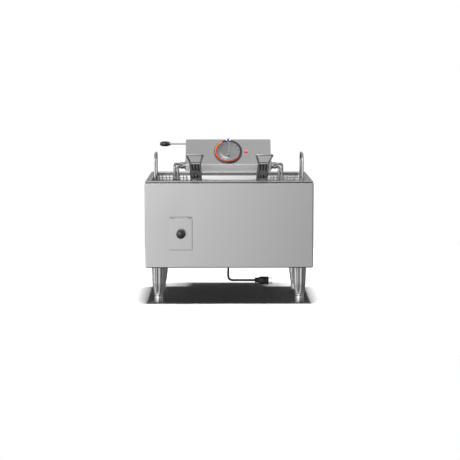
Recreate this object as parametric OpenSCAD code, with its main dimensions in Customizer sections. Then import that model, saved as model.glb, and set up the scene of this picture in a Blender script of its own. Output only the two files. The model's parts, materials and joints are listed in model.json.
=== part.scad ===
// Countertop twin-basket electric deep fryer with swing-up elements.
// The counter is z = 0. Every module is drawn about the cabinet's centre
// line; placed() then moves it so that the origin is the middle of the
// object's own footprint. The front faces -Y.

/* [Cabinet] */
// Width of the cabinet
body_w = 457; // [420:1:560]
// Depth of the cabinet, front to back
body_d = 355; // [330:1:440]
// Height of the sheet-metal cabinet without its legs
body_h = 231.4; // [215:0.1:300]
// Height of the legs and feet together
leg_h = 106; // [80:0.1:130]
// Thickness of the sheet metal
sheet = 1.5; // [1:0.1:2]
// Radius of the cabinet's upright front corners
corner_r = 4; // [3:0.5:8]

/* [Tank] */
// Height of the tank's rim above the cabinet
rim_h = 6; // [4:0.5:12]
// Width of the rim all round
rim_w = 14.5; // [12:0.5:20]
// Depth of the oil well below the top of the rim
well_depth = 196; // [180:1:210]
// How far the front shelf reaches back from the front wall
shelf_run = 43; // [40:1:50]
// Depth of the shelf below the top of the rim
shelf_depth = 45; // [40:1:60]
// Fall of the shelf toward the well
shelf_fall = 12; // [6:1:16]

/* [Legs] */
// Distance of a leg's centre from the cabinet's side
leg_inset_x = 32.5; // [28:0.5:45]
// Distance of a leg's centre from the front or back
leg_inset_y = 59.5; // [35:0.5:80]
// Diameter of the leg at the top
leg_top_d = 38; // [36:1:48]
// Diameter of the leg at its lower end
leg_low_d = 26; // [25:1:32]
// Diameter of the leg where its lower taper starts
leg_knee_d = 34; // [33:1:36]
// Height of the lower taper
knee_h = 27; // [20:1:34]
// Diameter of the chrome foot
foot_d = 24; // [20:1:28]
// Height of the foot below the leg
foot_h = 25; // [22:1:30]
// Travel of the levelling foot
foot_travel = 20; // [15:1:22]

/* [Control head] */
// Width of the head
head_w = 254; // [240:1:280]
// Height of the upright strip above the rim
strip_h = 22; // [20:1:30]
// Height of the sloped face, measured upright
slope_rise = 69; // [66:1:80]
// Lean of the sloped face from upright
lean = 39.5; // [30:0.5:45]
// Depth of the head's flat top
head_top_d = 30; // [28:1:40]
// How far the head hangs down behind the cabinet
head_drop = 101; // [90:1:120]
// Diameter of the thermostat dial ring
dial_d = 83; // [70:1:85]
// Radial width of the dial ring
ring_w = 6.5; // [5:0.5:8]
// Height of the dial's grip bar above the disc
grip_h = 12; // [8:0.5:16]
// Distance of the pilot lamp from the middle
pilot_x = 53; // [50:1:80]
// Diameter of the pilot lens
pilot_d = 10.5; // [8:0.5:14]

/* [Latch] */
// Diameter of the pull rod
rod_d = 4.4; // [4:0.2:6]
// Length of the rod outside the head
rod_out = 48; // [40:0.5:70]
// Length of the oval knob
knob_l = 30; // [24:0.5:36]
// Height of the oval knob
knob_h = 15.5; // [12:0.5:20]
// Travel of the latch
latch_travel = 10; // [6:0.5:12]

/* [Elements] */
// Diameter of a heating element tube
tube_d = 8; // [6.4:0.1:8.4]
// Distance between the two cold legs of an element
tube_pitch = 8.6; // [8.5:0.1:10]
// Height of the pivot above the rim
pivot_rise = 17; // [16:0.5:24]
// Pivot's distance behind the cabinet's back
pivot_back = 16; // [15.5:0.5:20]
// From the head's side to the middle of the outer cold leg
cold_leg_out = 31; // [26:0.5:48]
// Bend radius of the elements' elbows
elbow_r = 9.4; // [9:0.1:12]
// Cold leg's distance in front of the well's back wall
cold_leg_gap = 13; // [10:0.5:20]
// Height of the elements above the well's floor
element_lift = 25; // [20:1:30]
// Reach of the elements forward from the back wall
element_reach = 204; // [180:1:206]

/* [Rack and baskets] */
// Gap between the elements and the rack
rack_gap = 4; // [4:0.5:10]
// Thickness of the rack plate
rack_t = 2; // [1.5:0.5:3]
// Height of the lift handles above the rim
lift_rise = 65; // [50:1:90]
// Distance between a lift handle's two legs
lift_span = 100; // [80:1:140]
// Diameter of the handle wires
wire_d = 5; // [4:0.5:6]
// Width of one basket
basket_w = 165; // [150:1:166]
// Length of one basket
basket_l = 214; // [190:1:215]
// Height of one basket
basket_h = 112; // [100:1:115]
// Distance of each basket's centre from the middle
basket_x = 91; // [88:1:92]
// Reach of a basket handle in front of the cabinet
handle_reach = 149.5; // [120:0.5:180]
// Rise of the basket handle above the rim
handle_rise = 80; // [70:1:100]
// Width of the handle's stem
stem_w = 32; // [28:1:36]
// Width of the handle's end bar
bar_w = 50; // [40:1:60]

/* [Drain] */
// Distance of the drain from the middle, to the left
drain_x = 132; // [120:1:140]
// Width of the drain door
door_w = 63; // [60:1:72]
// Height of the drain door
door_h = 90; // [86:1:100]
// Height of the door's middle above the cabinet's bottom
door_rise = 93.4; // [85:0.1:110]
// Diameter of the door knob
door_knob_d = 25; // [18:1:30]
// Bore of the drain
drain_bore = 19; // [15:0.5:20]

/* [Cord] */
// Diameter of the mains cord
cord_d = 6.5; // [6:0.5:8]

/* [Hidden] */
$fn = 48;
// Radial clearance of a turning or sliding shaft
run_gap = 0.05;
// Gap between bodies that only lie near each other
free_gap = 0.3;
// Height of a weld bead over its tube
bead = 0.05;

body_top = leg_h + body_h;
rim_top = body_top + rim_h;
half_w = body_w / 2;
half_d = body_d / 2;
well_w = body_w - 2 * rim_w;
well_back = half_d - rim_w;
well_floor = rim_top - well_depth;

// The head's profile
head_front = half_d;
strip_top = rim_top + strip_h;
head_top = strip_top + slope_rise;
slope_run = slope_rise * tan(lean);
head_back = head_front + slope_run + head_top_d;
head_bottom = rim_top - head_drop;
slope_mid_y = head_front + slope_run / 2;
slope_mid_z = strip_top + slope_rise / 2;

// The handle's end and the whole object's middle
handle_end_y = -(half_d + handle_reach);
handle_end_z = rim_top + handle_rise;
screw_head = 2;
shift_y = (half_d + handle_reach - head_back - screw_head) / 2;

// Pivot, elements and rack
pivot_y = half_d + pivot_back;
pivot_z = rim_top + pivot_rise;
hub_r = tube_pitch / 2 + tube_d / 2 + 1.2;
cold_leg_x = head_w / 2 + cold_leg_out;
hub_end = cold_leg_x - tube_pitch - elbow_r - tube_d / 2 - bead - run_gap;
cold_y = well_back - cold_leg_gap;
element_z = well_floor + element_lift;
element_front = well_back - element_reach;
rack_low = element_z + tube_d / 2 + rack_gap;
rack_top = rack_low + rack_t;
well_front = -(half_d - rim_w) + shelf_run;
rack_front = well_front + 6;
rack_back = cold_y - tube_d / 2 - 36;
lift_x = well_w / 2 - 7;
basket_low = rack_top + free_gap;
basket_top = basket_low + basket_h;
basket_front = rack_front + 1;
basket_back = basket_front + basket_l;
basket_wall = 2.5;
post_x = lift_x - 4;

// Dial and pilot lamp
dial_r = dial_d / 2;
disc_r = dial_r - ring_w;
shaft_r = 3;
thermostat_box = 36;

// Latch
rod_z = head_top - 12;
rod_y = head_back - 25;
rod_in = 34;
knob_tip = rod_d / 2 + 0.6;
knob_bore = 12;
bush_l = 8;
spring_l = rod_in - bush_l - latch_travel - 4;
arm_x = head_w / 2 - rod_in - 8;
arm_r = 61;
arm_angle = 50;
swing = 85;

// Drain
door_z = leg_h + door_rise;
door_top = door_z + door_h / 2;
door_face = half_d + 3.5;
hinge_y = -(half_d + 1.9);
hinge_z = door_top;
pin_r = 1.2;
roll_r = 2.1;
valve_y = -(half_d - 35.5);
valve_z = well_floor + 20;
valve_r = 15;
ball_r = 12.5;
stem_r = 4;
nozzle_r = 13;
nozzle_end = -(half_d - 6);

// Cord
cord_r = cord_d / 2;
cord_y = head_back - 45.4;
grip_l = 22;
plug_l = 29;
plug_z = 11;
plug_grip = 12;
blade_out = 12;

// ---------- helpers ----------

module placed() {
    translate([0, shift_y, 0]) children();
}

// Rounded rectangle made of squares and circles
module round_rect(w, d, r) {
    square([w - 2 * r, d], center = true);
    square([w, d - 2 * r], center = true);
    for (x = [-1, 1], y = [-1, 1])
        translate([x * (w / 2 - r), y * (d / 2 - r)]) circle(r = r);
}

module block(x0, x1, y0, y1, z0, z1) {
    translate([x0, y0, z0]) cube([x1 - x0, y1 - y0, z1 - z0]);
}

// Profile in (y, z), drawn across the width from x0 to x1
module across(x0, x1) {
    multmatrix([[0, 0, 1, x0], [1, 0, 0, 0], [0, 1, 0, 0], [0, 0, 0, 1]])
        linear_extrude(height = x1 - x0) children();
}

// Cylinder along X
module rod_x(x0, x1, y, z, r) {
    translate([x0, y, z]) rotate([0, 90, 0]) cylinder(r = r, h = x1 - x0);
}

// Cylinder along Y
module rod_y_dir(x, y0, y1, z, r) {
    translate([x, y0, z]) rotate([-90, 0, 0]) cylinder(r = r, h = y1 - y0);
}

// Local frame of the sloped face: +Z out of the face, +Y up the slope
module on_slope(x = 0) {
    translate([x, slope_mid_y, slope_mid_z]) rotate([90 - lean, 0, 0]) children();
}

function unit(v) = v / norm(v);
function turn(pts, i) = let (u = unit(pts[i] - pts[i - 1]), v = unit(pts[i + 1] - pts[i]))
    acos(max(-1, min(1, u * v)));
function cut_back(pts, radii, i) = (i == 0 || i == len(pts) - 1) ? 0
    : radii[i] * tan(turn(pts, i) / 2);

// Places children with +Z along d, starting at p
module aim(p, d) {
    ax = abs(d.z) < 0.9 ? unit(cross([0, 0, 1], d)) : unit(cross([1, 0, 0], d));
    ay = cross(d, ax);
    multmatrix([[ax.x, ay.x, d.x, p.x], [ax.y, ay.y, d.y, p.y], [ax.z, ay.z, d.z, p.z], [0, 0, 0, 1]])
        children();
}

// Round wire or tube along points, with a bend radius at each corner.
// A weld bead, a hair wider than the tube, joins each bend to its neighbours;
// with turned beads, each bead's axis lies along the tube.
module bent_tube(pts, radii, r, turned = false) {
    for (i = [0 : len(pts) - 2]) {
        d = unit(pts[i + 1] - pts[i]);
        t0 = cut_back(pts, radii, i);
        t1 = cut_back(pts, radii, i + 1);
        run = norm(pts[i + 1] - pts[i]) - t0 - t1;
        if (run > 0.01) aim(pts[i] + d * t0, d) cylinder(r = r, h = run);
    }
    for (i = [1 : 1 : len(pts) - 2]) {
        u = unit(pts[i] - pts[i - 1]);
        v = unit(pts[i + 1] - pts[i]);
        n = unit(v - (v * u) * u);
        t = cut_back(pts, radii, i);
        c = pts[i] - u * t + n * radii[i];
        w = cross(-n, u);
        to_next = norm(pts[i + 1] - pts[i]) - t - cut_back(pts, radii, i + 1);
        aim(pts[i] - u * t, turned ? u : [0, 0, 1]) sphere(r = r + bead);
        if (to_next > 0.01) aim(pts[i] + v * t, turned ? v : [0, 0, 1]) sphere(r = r + bead);
        multmatrix([[-n.x, u.x, w.x, c.x], [-n.y, u.y, w.y, c.y], [-n.z, u.z, w.z, c.z], [0, 0, 0, 1]])
            rotate_extrude(angle = turn(pts, i)) translate([radii[i], 0]) circle(r = r);
    }
}

// ---------- cabinet ----------

module doorway() {
    block(-drain_x - door_w / 2 + 7, -drain_x + door_w / 2 - 7, -half_d - 1, -half_d + 5,
        door_z - door_h / 2 + 5, door_z + door_h / 2 - 8);
}

module body_wrap() {
    color([0.80, 0.80, 0.80]) difference() {
        translate([0, 0, leg_h]) linear_extrude(height = body_h) difference() {
            round_rect(body_w, body_d, corner_r);
            round_rect(body_w - 2 * sheet, body_d - 2 * sheet, corner_r - sheet);
            translate([-half_w - 1, half_d - corner_r]) square([body_w + 2, corner_r + 1]);
        }
        doorway();
    }
}

module rear_panel() {
    color([0.76, 0.76, 0.77]) difference() {
        translate([0, 0, leg_h]) linear_extrude(height = body_h) difference() {
            round_rect(body_w, body_d, corner_r);
            round_rect(body_w - 2 * sheet, body_d - 2 * sheet, corner_r - sheet);
            translate([-half_w - 1, -half_d - 1]) square([body_w + 2, body_d + 1 - corner_r]);
        }
        for (i = [-3 : 3]) translate([i * 22, half_d, leg_h + 45])
            cube([5, 3 * sheet, 50], center = true);
    }
}

module bottom_pan() {
    inner_w = body_w - 2 * sheet;
    inner_d = body_d - 2 * sheet;
    color([0.70, 0.70, 0.71]) difference() {
        translate([0, 0, leg_h]) linear_extrude(height = sheet)
            round_rect(inner_w, inner_d, corner_r - sheet);
        for (x = [-1, 1], y = [-1, 1])
            translate([x * (half_w - leg_inset_x), y * (half_d - leg_inset_y), leg_h - 1])
                cylinder(r = 3.2, h = 4);
    }
}

// Outline of the well in (y, z), grown by g on every side but the top
module well_profile(g) {
    shelf_z = rim_top - shelf_depth;
    polygon([[-well_back - g, rim_top + 1], [-well_back - g, shelf_z - g],
        [well_front - g, shelf_z - shelf_fall - g], [well_front - g, well_floor - g],
        [well_back + g, well_floor - g], [well_back + g, rim_top + 1]]);
}

module fry_tank() {
    color([0.72, 0.73, 0.74]) difference() {
        union() {
            translate([0, 0, rim_top - sheet]) linear_extrude(height = sheet)
                round_rect(body_w, body_d, corner_r);
            translate([0, 0, body_top]) linear_extrude(height = rim_h) difference() {
                round_rect(body_w, body_d, corner_r);
                round_rect(body_w - 2 * sheet, body_d - 2 * sheet, corner_r - sheet);
            }
            intersection() {
                across(-well_w / 2 - sheet, well_w / 2 + sheet) well_profile(sheet);
                block(-half_w, half_w, -half_d, half_d, 0, rim_top);
            }
        }
        across(-well_w / 2, well_w / 2) well_profile(0);
        rod_y_dir(-drain_x, well_front - 10, well_front + 10, valve_z, drain_bore / 2);
    }
}

// ---------- legs and feet ----------

module leg(sx, sy) {
    low = foot_h;
    color([0.62, 0.62, 0.62]) translate([sx * (half_w - leg_inset_x), sy * (half_d - leg_inset_y), 0])
        difference() {
            union() {
                translate([0, 0, low]) cylinder(r1 = leg_low_d / 2, r2 = leg_knee_d / 2, h = knee_h);
                translate([0, 0, low + knee_h])
                    cylinder(r1 = leg_knee_d / 2, r2 = leg_top_d / 2, h = leg_h - low - 4 - knee_h);
                translate([0, 0, leg_h - 4]) cylinder(r = leg_top_d / 2 + 3, h = 4);
            }
            translate([0, 0, low - 1]) cylinder(r = 5 + run_gap, h = 36);
            translate([0, 0, leg_h - 18]) cylinder(r = 2.6, h = 19);
        }
}

module leg_bolts() {
    color([0.55, 0.55, 0.56]) for (x = [-1, 1], y = [-1, 1])
        translate([x * (half_w - leg_inset_x), y * (half_d - leg_inset_y), leg_h + sheet]) {
            cylinder(r = 5.5, h = 3.6, $fn = 6);
            translate([0, 0, -sheet - 16]) cylinder(r = 2.6, h = sheet + 16);
        }
}

module foot(sx, sy) {
    color([0.85, 0.85, 0.86]) translate([sx * (half_w - leg_inset_x), sy * (half_d - leg_inset_y), 0])
        rotate_extrude() polygon([[0, 0], [foot_d / 2 - 2, 0], [foot_d / 2, 2],
            [foot_d / 2, foot_h - 7], [foot_d / 2 - 1.5, foot_h - 6],
            [foot_d / 2 + 0.5, foot_h - 4.5], [foot_d / 2 + 0.5, foot_h - 0.6], [5, foot_h - 0.6],
            [5, foot_h + 32], [0, foot_h + 32]]);
}

// ---------- control head ----------

// The head's outline in (y, z), moved inward by g; it stays open at the back
module head_outline(g) {
    back = head_back + (g > 0 ? 1 : 0);
    polygon([[head_front + g, head_bottom + g], [head_front + g, strip_top - g * tan(lean / 2)],
        [head_front + slope_run + g * (1 - sin(lean)) / cos(lean), head_top - g],
        [back, head_top - g], [back, head_bottom + g]]);
}

module head_housing() {
    color([0.66, 0.66, 0.67]) difference() {
        across(-head_w / 2, head_w / 2) head_outline(0);
        across(-head_w / 2 + sheet, head_w / 2 - sheet) head_outline(sheet);
        for (s = [-1, 1]) rod_x(s * head_w / 2 - 5, s * head_w / 2 + 5, pivot_y, pivot_z, hub_r + 3.5);
        rod_x(-head_w, 0, rod_y, rod_z, rod_d / 2 + 2);
        on_slope() translate([0, 0, -10]) cylinder(r = shaft_r + 1, h = 20);
        on_slope(pilot_x) translate([0, 0, -10]) cylinder(r = 4, h = 20);
        translate([0, cord_y, head_bottom - 1]) cylinder(r = 7, h = 4);
        for (x = [-1, 1], z = [head_bottom + 25, body_top - 20])
            rod_y_dir(x * head_w / 3, head_front - 1, head_front + 4, z, 2.1);
    }
}

module head_back_cover() {
    color([0.60, 0.60, 0.61]) difference() {
        block(-head_w / 2 + sheet, head_w / 2 - sheet, head_back - sheet, head_back,
            head_bottom + sheet, head_top - sheet);
        for (x = [-1, 1], z = [head_bottom + 12, (head_bottom + head_top) / 2, head_top - 9])
            rod_y_dir(x * (head_w / 2 - 9), head_back - 3, head_back + 3, z, 2);
    }
}

module head_screws() {
    color([0.75, 0.75, 0.76]) for (x = [-1, 1],
            z = [head_bottom + 12, (head_bottom + head_top) / 2, head_top - 9]) {
        rod_y_dir(x * (head_w / 2 - 9), head_back - 9, head_back, z, 2);
        rod_y_dir(x * (head_w / 2 - 9), head_back, head_back + screw_head, z, 4);
    }
}

// ---------- thermostat ----------

module dial_ring() {
    color([0.08, 0.08, 0.08]) on_slope() difference() {
        cylinder(r = dial_r, h = 5);
        translate([0, 0, -1]) cylinder(r = disc_r + free_gap, h = 7);
        translate([0, 0, 4]) heat_arc_shape(2, 0.02);
    }
}

// Half-and-a-bit ring, from the upper left round the bottom to the right
module heat_arc_shape(h, g) {
    rotate([0, 0, 125]) rotate_extrude(angle = 205)
        translate([disc_r + 1.2 - g, 0]) square([ring_w - 3.4 + 2 * g, h]);
}

module dial_heat_arc() {
    color([0.93, 0.33, 0.12]) on_slope() translate([0, 0, 4]) heat_arc_shape(1.2, 0);
}

module thermostat_dial() {
    color([0.78, 0.78, 0.80]) on_slope() difference() {
        union() {
            translate([0, 0, 1]) cylinder(r = disc_r, h = 3.5);
            translate([0, 0, 4.5]) linear_extrude(height = grip_h)
                polygon([[-3.5, -24], [3.5, -24], [4.5, 0], [3, disc_r - 6], [-3, disc_r - 6], [-4.5, 0]]);
        }
        cylinder(r = shaft_r, h = 10);
    }
}

module dial_shaft() {
    color([0.70, 0.66, 0.50]) on_slope() translate([0, 0, -22]) cylinder(r = shaft_r, h = 32);
}

module thermostat_body() {
    color([0.25, 0.22, 0.20]) on_slope() difference() {
        union() {
            translate([-thermostat_box / 2, -thermostat_box / 2, -38])
                cube([thermostat_box, thermostat_box, 26]);
            translate([0, 0, -12]) cylinder(r = 8, h = 12 - sheet);
        }
        translate([0, 0, -22.3]) cylinder(r = shaft_r + run_gap, h = 30);
    }
}

module high_limit() {
    color([0.80, 0.78, 0.72]) {
        block(70, 100, head_front + sheet, head_front + sheet + 26, head_bottom + 16, head_bottom + 46);
        rod_y_dir(85, head_front + sheet + 26, head_front + sheet + 34, head_bottom + 31, 4);
    }
}

module terminal_block() {
    color([0.12, 0.12, 0.13]) difference() {
        block(-45, 45, head_front + sheet, head_front + sheet + 24, head_bottom + 30, head_bottom + 62);
        for (i = [-2 : 2]) rod_y_dir(i * 17, head_front + sheet + 12, head_front + sheet + 30,
            head_bottom + 46, 3);
    }
}

module pilot_lens() {
    color([0.90, 0.10, 0.12]) on_slope(pilot_x) intersection() {
        sphere(r = pilot_d / 2);
        cylinder(r = pilot_d, h = pilot_d);
    }
}

module pilot_body() {
    color([0.90, 0.90, 0.88]) on_slope(pilot_x) translate([0, 0, -28]) cylinder(r = 3.9, h = 28);
}

// ---------- latch ----------

module latch_rod() {
    left = -head_w / 2;
    color([0.80, 0.80, 0.82]) {
        rod_x(left - rod_out - knob_bore, left + rod_in + 8, rod_y, rod_z, rod_d / 2);
        rod_x(left + rod_in, left + rod_in + 3, rod_y, rod_z, 7);
        block(left + rod_in + 3, left + rod_in + 6, rod_y - 7, rod_y + 7,
            pivot_z - 45, rod_z - 1);
        rod_x(left + rod_in + 6, left + rod_in + 7.7, pivot_y + arm_r * cos(arm_angle - swing),
            pivot_z + arm_r * sin(arm_angle - swing), 3);
    }
}

module latch_knob() {
    steps = 14;
    color([0.06, 0.06, 0.06]) translate([-head_w / 2 - rod_out, rod_y, rod_z]) rotate([0, -90, 0])
        rotate_extrude() polygon(concat(
            [[0, knob_bore], [rod_d / 2, knob_bore], [rod_d / 2, 0]],
            [for (i = [0 : steps])
                [knob_tip + (knob_h / 2 - knob_tip) * sin(180 * i / steps), knob_l * i / steps]],
            [[0, knob_l]]));
}

module latch_bush() {
    left = -head_w / 2;
    color([0.72, 0.60, 0.30]) difference() {
        union() {
            rod_x(left, left + bush_l, rod_y, rod_z, rod_d / 2 + 2);
            rod_x(left + sheet, left + 5, rod_y, rod_z, rod_d / 2 + 4.5);
        }
        rod_x(left - 1, left + 12, rod_y, rod_z, rod_d / 2 + run_gap);
    }
}

module latch_spring() {
    left = -head_w / 2 + bush_l;
    turns = 4;
    color([0.72, 0.72, 0.72]) for (i = [0 : turns - 1])
        translate([left + 1.2 + i * (spring_l - 2.4) / (turns - 1), rod_y, rod_z]) rotate([0, 90, 0])
            rotate_extrude() translate([rod_d / 2 + 1.8, 0]) circle(r = 0.8);
}

// ---------- swing-up elements ----------

module pivot_shaft() {
    color([0.74, 0.74, 0.75]) {
        rod_x(-head_w / 2 + 12, head_w / 2 - 12, pivot_y, pivot_z, 6);
        for (s = [-1, 1]) rod_x(s > 0 ? head_w / 2 - 12 : -hub_end, s > 0 ? hub_end : -head_w / 2 + 12,
            pivot_y, pivot_z, hub_r);
        across(-arm_x, -arm_x + 4) difference() {
            hull() {
                translate([pivot_y, pivot_z]) circle(r = 10);
                translate([pivot_y + arm_r * cos(arm_angle), pivot_z + arm_r * sin(arm_angle)]) circle(r = 6.5);
            }
            translate([pivot_y + arm_r * cos(arm_angle), pivot_z + arm_r * sin(arm_angle)]) circle(r = 3.2);
        }
    }
}

module pivot_bushes() {
    color([0.72, 0.60, 0.30]) for (s = [-1, 1]) {
        x0 = s > 0 ? head_w / 2 - 8 : -head_w / 2 - 2;
        difference() {
            rod_x(x0, x0 + 10, pivot_y, pivot_z, hub_r + 3.5);
            rod_x(x0 - 1, x0 + 12, pivot_y, pivot_z, hub_r + run_gap);
        }
    }
}

// The right heating element: two cold legs and four passes over the well's floor
module element() {
    p = tube_pitch / 2;
    out_x = cold_leg_x;
    in_x = cold_leg_x - tube_pitch;
    pass = (out_x - 30) / 3;
    passes = [for (i = [0 : 3]) out_x - i * pass];
    r = elbow_r;
    pts = [[hub_end, pivot_y, pivot_z + p], [out_x, pivot_y, pivot_z + p],
        [out_x, cold_y, pivot_z + p], [out_x, cold_y, element_z],
        [passes[0], element_front, element_z], [passes[1], element_front, element_z],
        [passes[1], cold_y - 24, element_z], [passes[2], cold_y - 24, element_z],
        [passes[2], element_front, element_z], [passes[3], element_front, element_z],
        [passes[3], cold_y, element_z], [in_x, cold_y, element_z],
        [in_x, cold_y, pivot_z - p], [in_x, pivot_y, pivot_z - p],
        [hub_end, pivot_y, pivot_z - p]];
    u = pass / 2;
    radii = [0, r, r, r, u, u, u, u, u, u, r, r, r, r, 0];
    color([0.68, 0.69, 0.70]) bent_tube(pts, radii, tube_d / 2, turned = true);
}

module element_clamps() {
    color([0.60, 0.60, 0.60]) for (s = [-1, 1], y = [element_front + 50, element_front + 120])
        translate([s * (cold_leg_x + 30) / 2, y, element_z - tube_d / 2 - 1.2])
            cube([cold_leg_x - 20, 12, 2.4], center = true);
}

module thermostat_bulb() {
    color([0.75, 0.52, 0.35]) {
        rod_y_dir(20, element_front + 30, cold_y - 40, element_z, 3);
        block(20, 30 - tube_d / 2, element_front + 58, element_front + 66, element_z - 1, element_z + 1);
    }
}

// ---------- rack ----------

module crumb_rack() {
    color([0.70, 0.70, 0.71]) {
        difference() {
            block(-lift_x - 3, lift_x + 3, rack_front, rack_back, rack_low, rack_top);
            for (i = [-9 : 9], j = [0 : 4])
                translate([i * 20, rack_front + 25 + j * 42, rack_low - 1]) linear_extrude(height = rack_t + 2)
                    round_rect(9, 30, 4);
        }
        for (x = [-1, 1], y = [rack_front + 5, rack_back - 5])
            translate([x * post_x, y, well_floor + free_gap]) cylinder(r = 3, h = rack_low - well_floor - free_gap);
    }
}

module lift_handle(s) {
    top = rim_top + lift_rise;
    pts = [[s * lift_x, -lift_span / 2, rack_top], [s * lift_x, -lift_span / 2, top],
        [s * lift_x, lift_span / 2, top], [s * lift_x, lift_span / 2, rack_top]];
    color([0.80, 0.80, 0.80]) bent_tube(pts, [0, 20, 20, 0], 3, turned = true);
}

// Upright wires at the rack's rear corners, joined by two cross wires
module rack_guards() {
    y = rack_back - 4;
    color([0.70, 0.70, 0.70]) for (s = [-1, 1]) {
        for (i = [0 : 8]) translate([s * (122 + i * 10), y, rack_top])
            cylinder(r = 1.2, h = rim_top - rack_top - 3, $fn = 24);
        for (z = [basket_top - 30, rim_top - 12])
            rod_x(s > 0 ? 119 : -205, s > 0 ? 205 : -119, y + 1.6, z, 1.2);
    }
}

// ---------- baskets ----------

module basket(s) {
    color([0.66, 0.66, 0.67]) difference() {
        translate([s * basket_x, (basket_front + basket_back) / 2, basket_low])
            linear_extrude(height = basket_h) round_rect(basket_w, basket_l, 12);
        translate([s * basket_x, (basket_front + basket_back) / 2, basket_low + basket_wall])
            linear_extrude(height = basket_h)
                round_rect(basket_w - 2 * basket_wall, basket_l - 2 * basket_wall, 12 - basket_wall);
    }
}

module basket_rim(s) {
    color([0.78, 0.78, 0.78]) translate([s * basket_x, (basket_front + basket_back) / 2, basket_top])
        linear_extrude(height = 4) difference() {
            round_rect(basket_w, basket_l, 12);
            round_rect(basket_w - 8, basket_l - 8, 8);
        }
}

// Points along the handle's sloping line, t from 0 at its foot to 1 at its end
function stem_y(t) = (basket_front + 2.5) * (1 - t) + handle_end_y * t;
function stem_z(t) = rim_top * (1 - t) + handle_end_z * t;
flare_t = 0.70;

module basket_handle(s) {
    cx = s * basket_x;
    a = stem_w / 2 - wire_d / 2;
    b = bar_w / 2 - wire_d / 2;
    color([0.80, 0.80, 0.80]) {
        bent_tube([[cx - a, basket_front + 2.5, basket_top + 4], [cx - a, stem_y(0), stem_z(0)],
            [cx - a, stem_y(flare_t), stem_z(flare_t)], [cx - b, stem_y(1) + wire_d / 2, stem_z(1)],
            [cx + b, stem_y(1) + wire_d / 2, stem_z(1)], [cx + a, stem_y(flare_t), stem_z(flare_t)],
            [cx + a, stem_y(0), stem_z(0)], [cx + a, basket_front + 2.5, basket_top + 4]],
            [0, 8, 12, 6, 6, 12, 8, 0], wire_d / 2);
        for (t = [0.08, 0.24, 0.36, 0.64])
            rod_x(cx - a, cx + a, stem_y(t), stem_z(t), 1.8);
    }
}

// Dark insert that fills the stem between its wires
module handle_core(s) {
    cx = s * basket_x;
    w = stem_w - 2 * wire_d - 2;
    slope = atan((stem_z(1) - stem_z(0)) / (stem_y(0) - stem_y(1)));
    len = norm([stem_y(0.68) - stem_y(0.1), stem_z(0.68) - stem_z(0.1)]);
    color([0.10, 0.10, 0.10])
        translate([cx, stem_y(0.1), stem_z(0.1)]) rotate([-slope, 0, 0])
            translate([-w / 2, -len, -4.8]) cube([w, len, 3]);
}

// ---------- drain ----------

module drain_door() {
    color([0.78, 0.78, 0.78]) translate([-drain_x, 0, 0]) difference() {
        union() {
            block(-door_w / 2, door_w / 2, -door_face, -door_face + sheet,
                door_z - door_h / 2, hinge_z - roll_r - free_gap);
            for (x = [-door_w / 2, door_w / 2 - sheet])
                block(x, x + sheet, -door_face, -half_d - 0.5, door_z - door_h / 2, door_top - 6);
            block(-door_w / 2, door_w / 2, -door_face, -half_d - 0.5,
                door_z - door_h / 2, door_z - door_h / 2 + sheet);
            rod_x(-18, 18, hinge_y, hinge_z, roll_r - 0.35);
            block(-18, 18, -door_face, hinge_y, hinge_z - 3, hinge_z);
        }
        rod_x(-30, 30, hinge_y, hinge_z, pin_r + run_gap);
        rod_y_dir(0, -door_face - 1, -door_face + 4, door_z, 2.5);
    }
}

module door_knob() {
    color([0.05, 0.05, 0.05]) translate([-drain_x, -door_face, door_z]) rotate([90, 0, 0]) {
        rotate_extrude() polygon([[0, 0], [6.5, 0], [5.5, 6], [door_knob_d / 2 - 1.5, 9],
            [door_knob_d / 2, 11.5], [door_knob_d / 2 - 1, 15.5], [door_knob_d / 2 - 5, 17.5], [0, 18.5]]);
        translate([0, 0, -3]) cylinder(r = 2.5, h = 3);
    }
}

module door_hinge_leaf() {
    color([0.70, 0.70, 0.71]) translate([-drain_x, 0, 0]) difference() {
        union() {
            block(-30, 30, -half_d - 0.8, -half_d, hinge_z - 7, hinge_z - 2.6);
            for (x = [-30, 19]) {
                rod_x(x, x + 11, hinge_y, hinge_z, roll_r - 0.2);
                block(x, x + 11, -half_d - 0.8, -half_d, hinge_z - 3, hinge_z + 1.8);
                block(x, x + 11, hinge_y, -half_d, hinge_z - 1, hinge_z + 1);
            }
        }
        rod_x(-31, 31, hinge_y, hinge_z, pin_r);
    }
}

module door_hinge_pin() {
    color([0.60, 0.60, 0.60]) rod_x(-drain_x - 30, -drain_x + 30, hinge_y, hinge_z, pin_r);
}

module drain_pipe() {
    y0 = valve_y + valve_r;
    color([0.75, 0.66, 0.42]) difference() {
        rod_y_dir(-drain_x, y0, well_front - sheet, valve_z, nozzle_r);
        rod_y_dir(-drain_x, y0 - 1, well_front, valve_z, drain_bore / 2);
    }
}

module valve_body() {
    color([0.75, 0.66, 0.42]) difference() {
        union() {
            translate([-drain_x, valve_y, valve_z]) sphere(r = valve_r + 2);
            rod_y_dir(-drain_x, nozzle_end, valve_y + valve_r, valve_z, nozzle_r);
            translate([-drain_x, valve_y, valve_z]) cylinder(r = 8, h = valve_r + 7);
        }
        translate([-drain_x, valve_y, valve_z]) sphere(r = ball_r + 0.08);
        rod_y_dir(-drain_x, nozzle_end - 1, valve_y + valve_r + 5, valve_z, drain_bore / 2);
        translate([-drain_x, valve_y, valve_z]) cylinder(r = stem_r + run_gap, h = valve_r + 12);
        block(-drain_x - 30, -drain_x + 30, valve_y + valve_r, valve_y + 30, valve_z - 30, valve_z + 30);
    }
}

module valve_ball() {
    color([0.80, 0.80, 0.82]) translate([-drain_x, valve_y, valve_z]) difference() {
        sphere(r = ball_r);
        rod_x(-20, 20, 0, 0, 8);
        translate([0, 0, ball_r - 2]) cylinder(r = stem_r, h = 6);
    }
}

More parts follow.
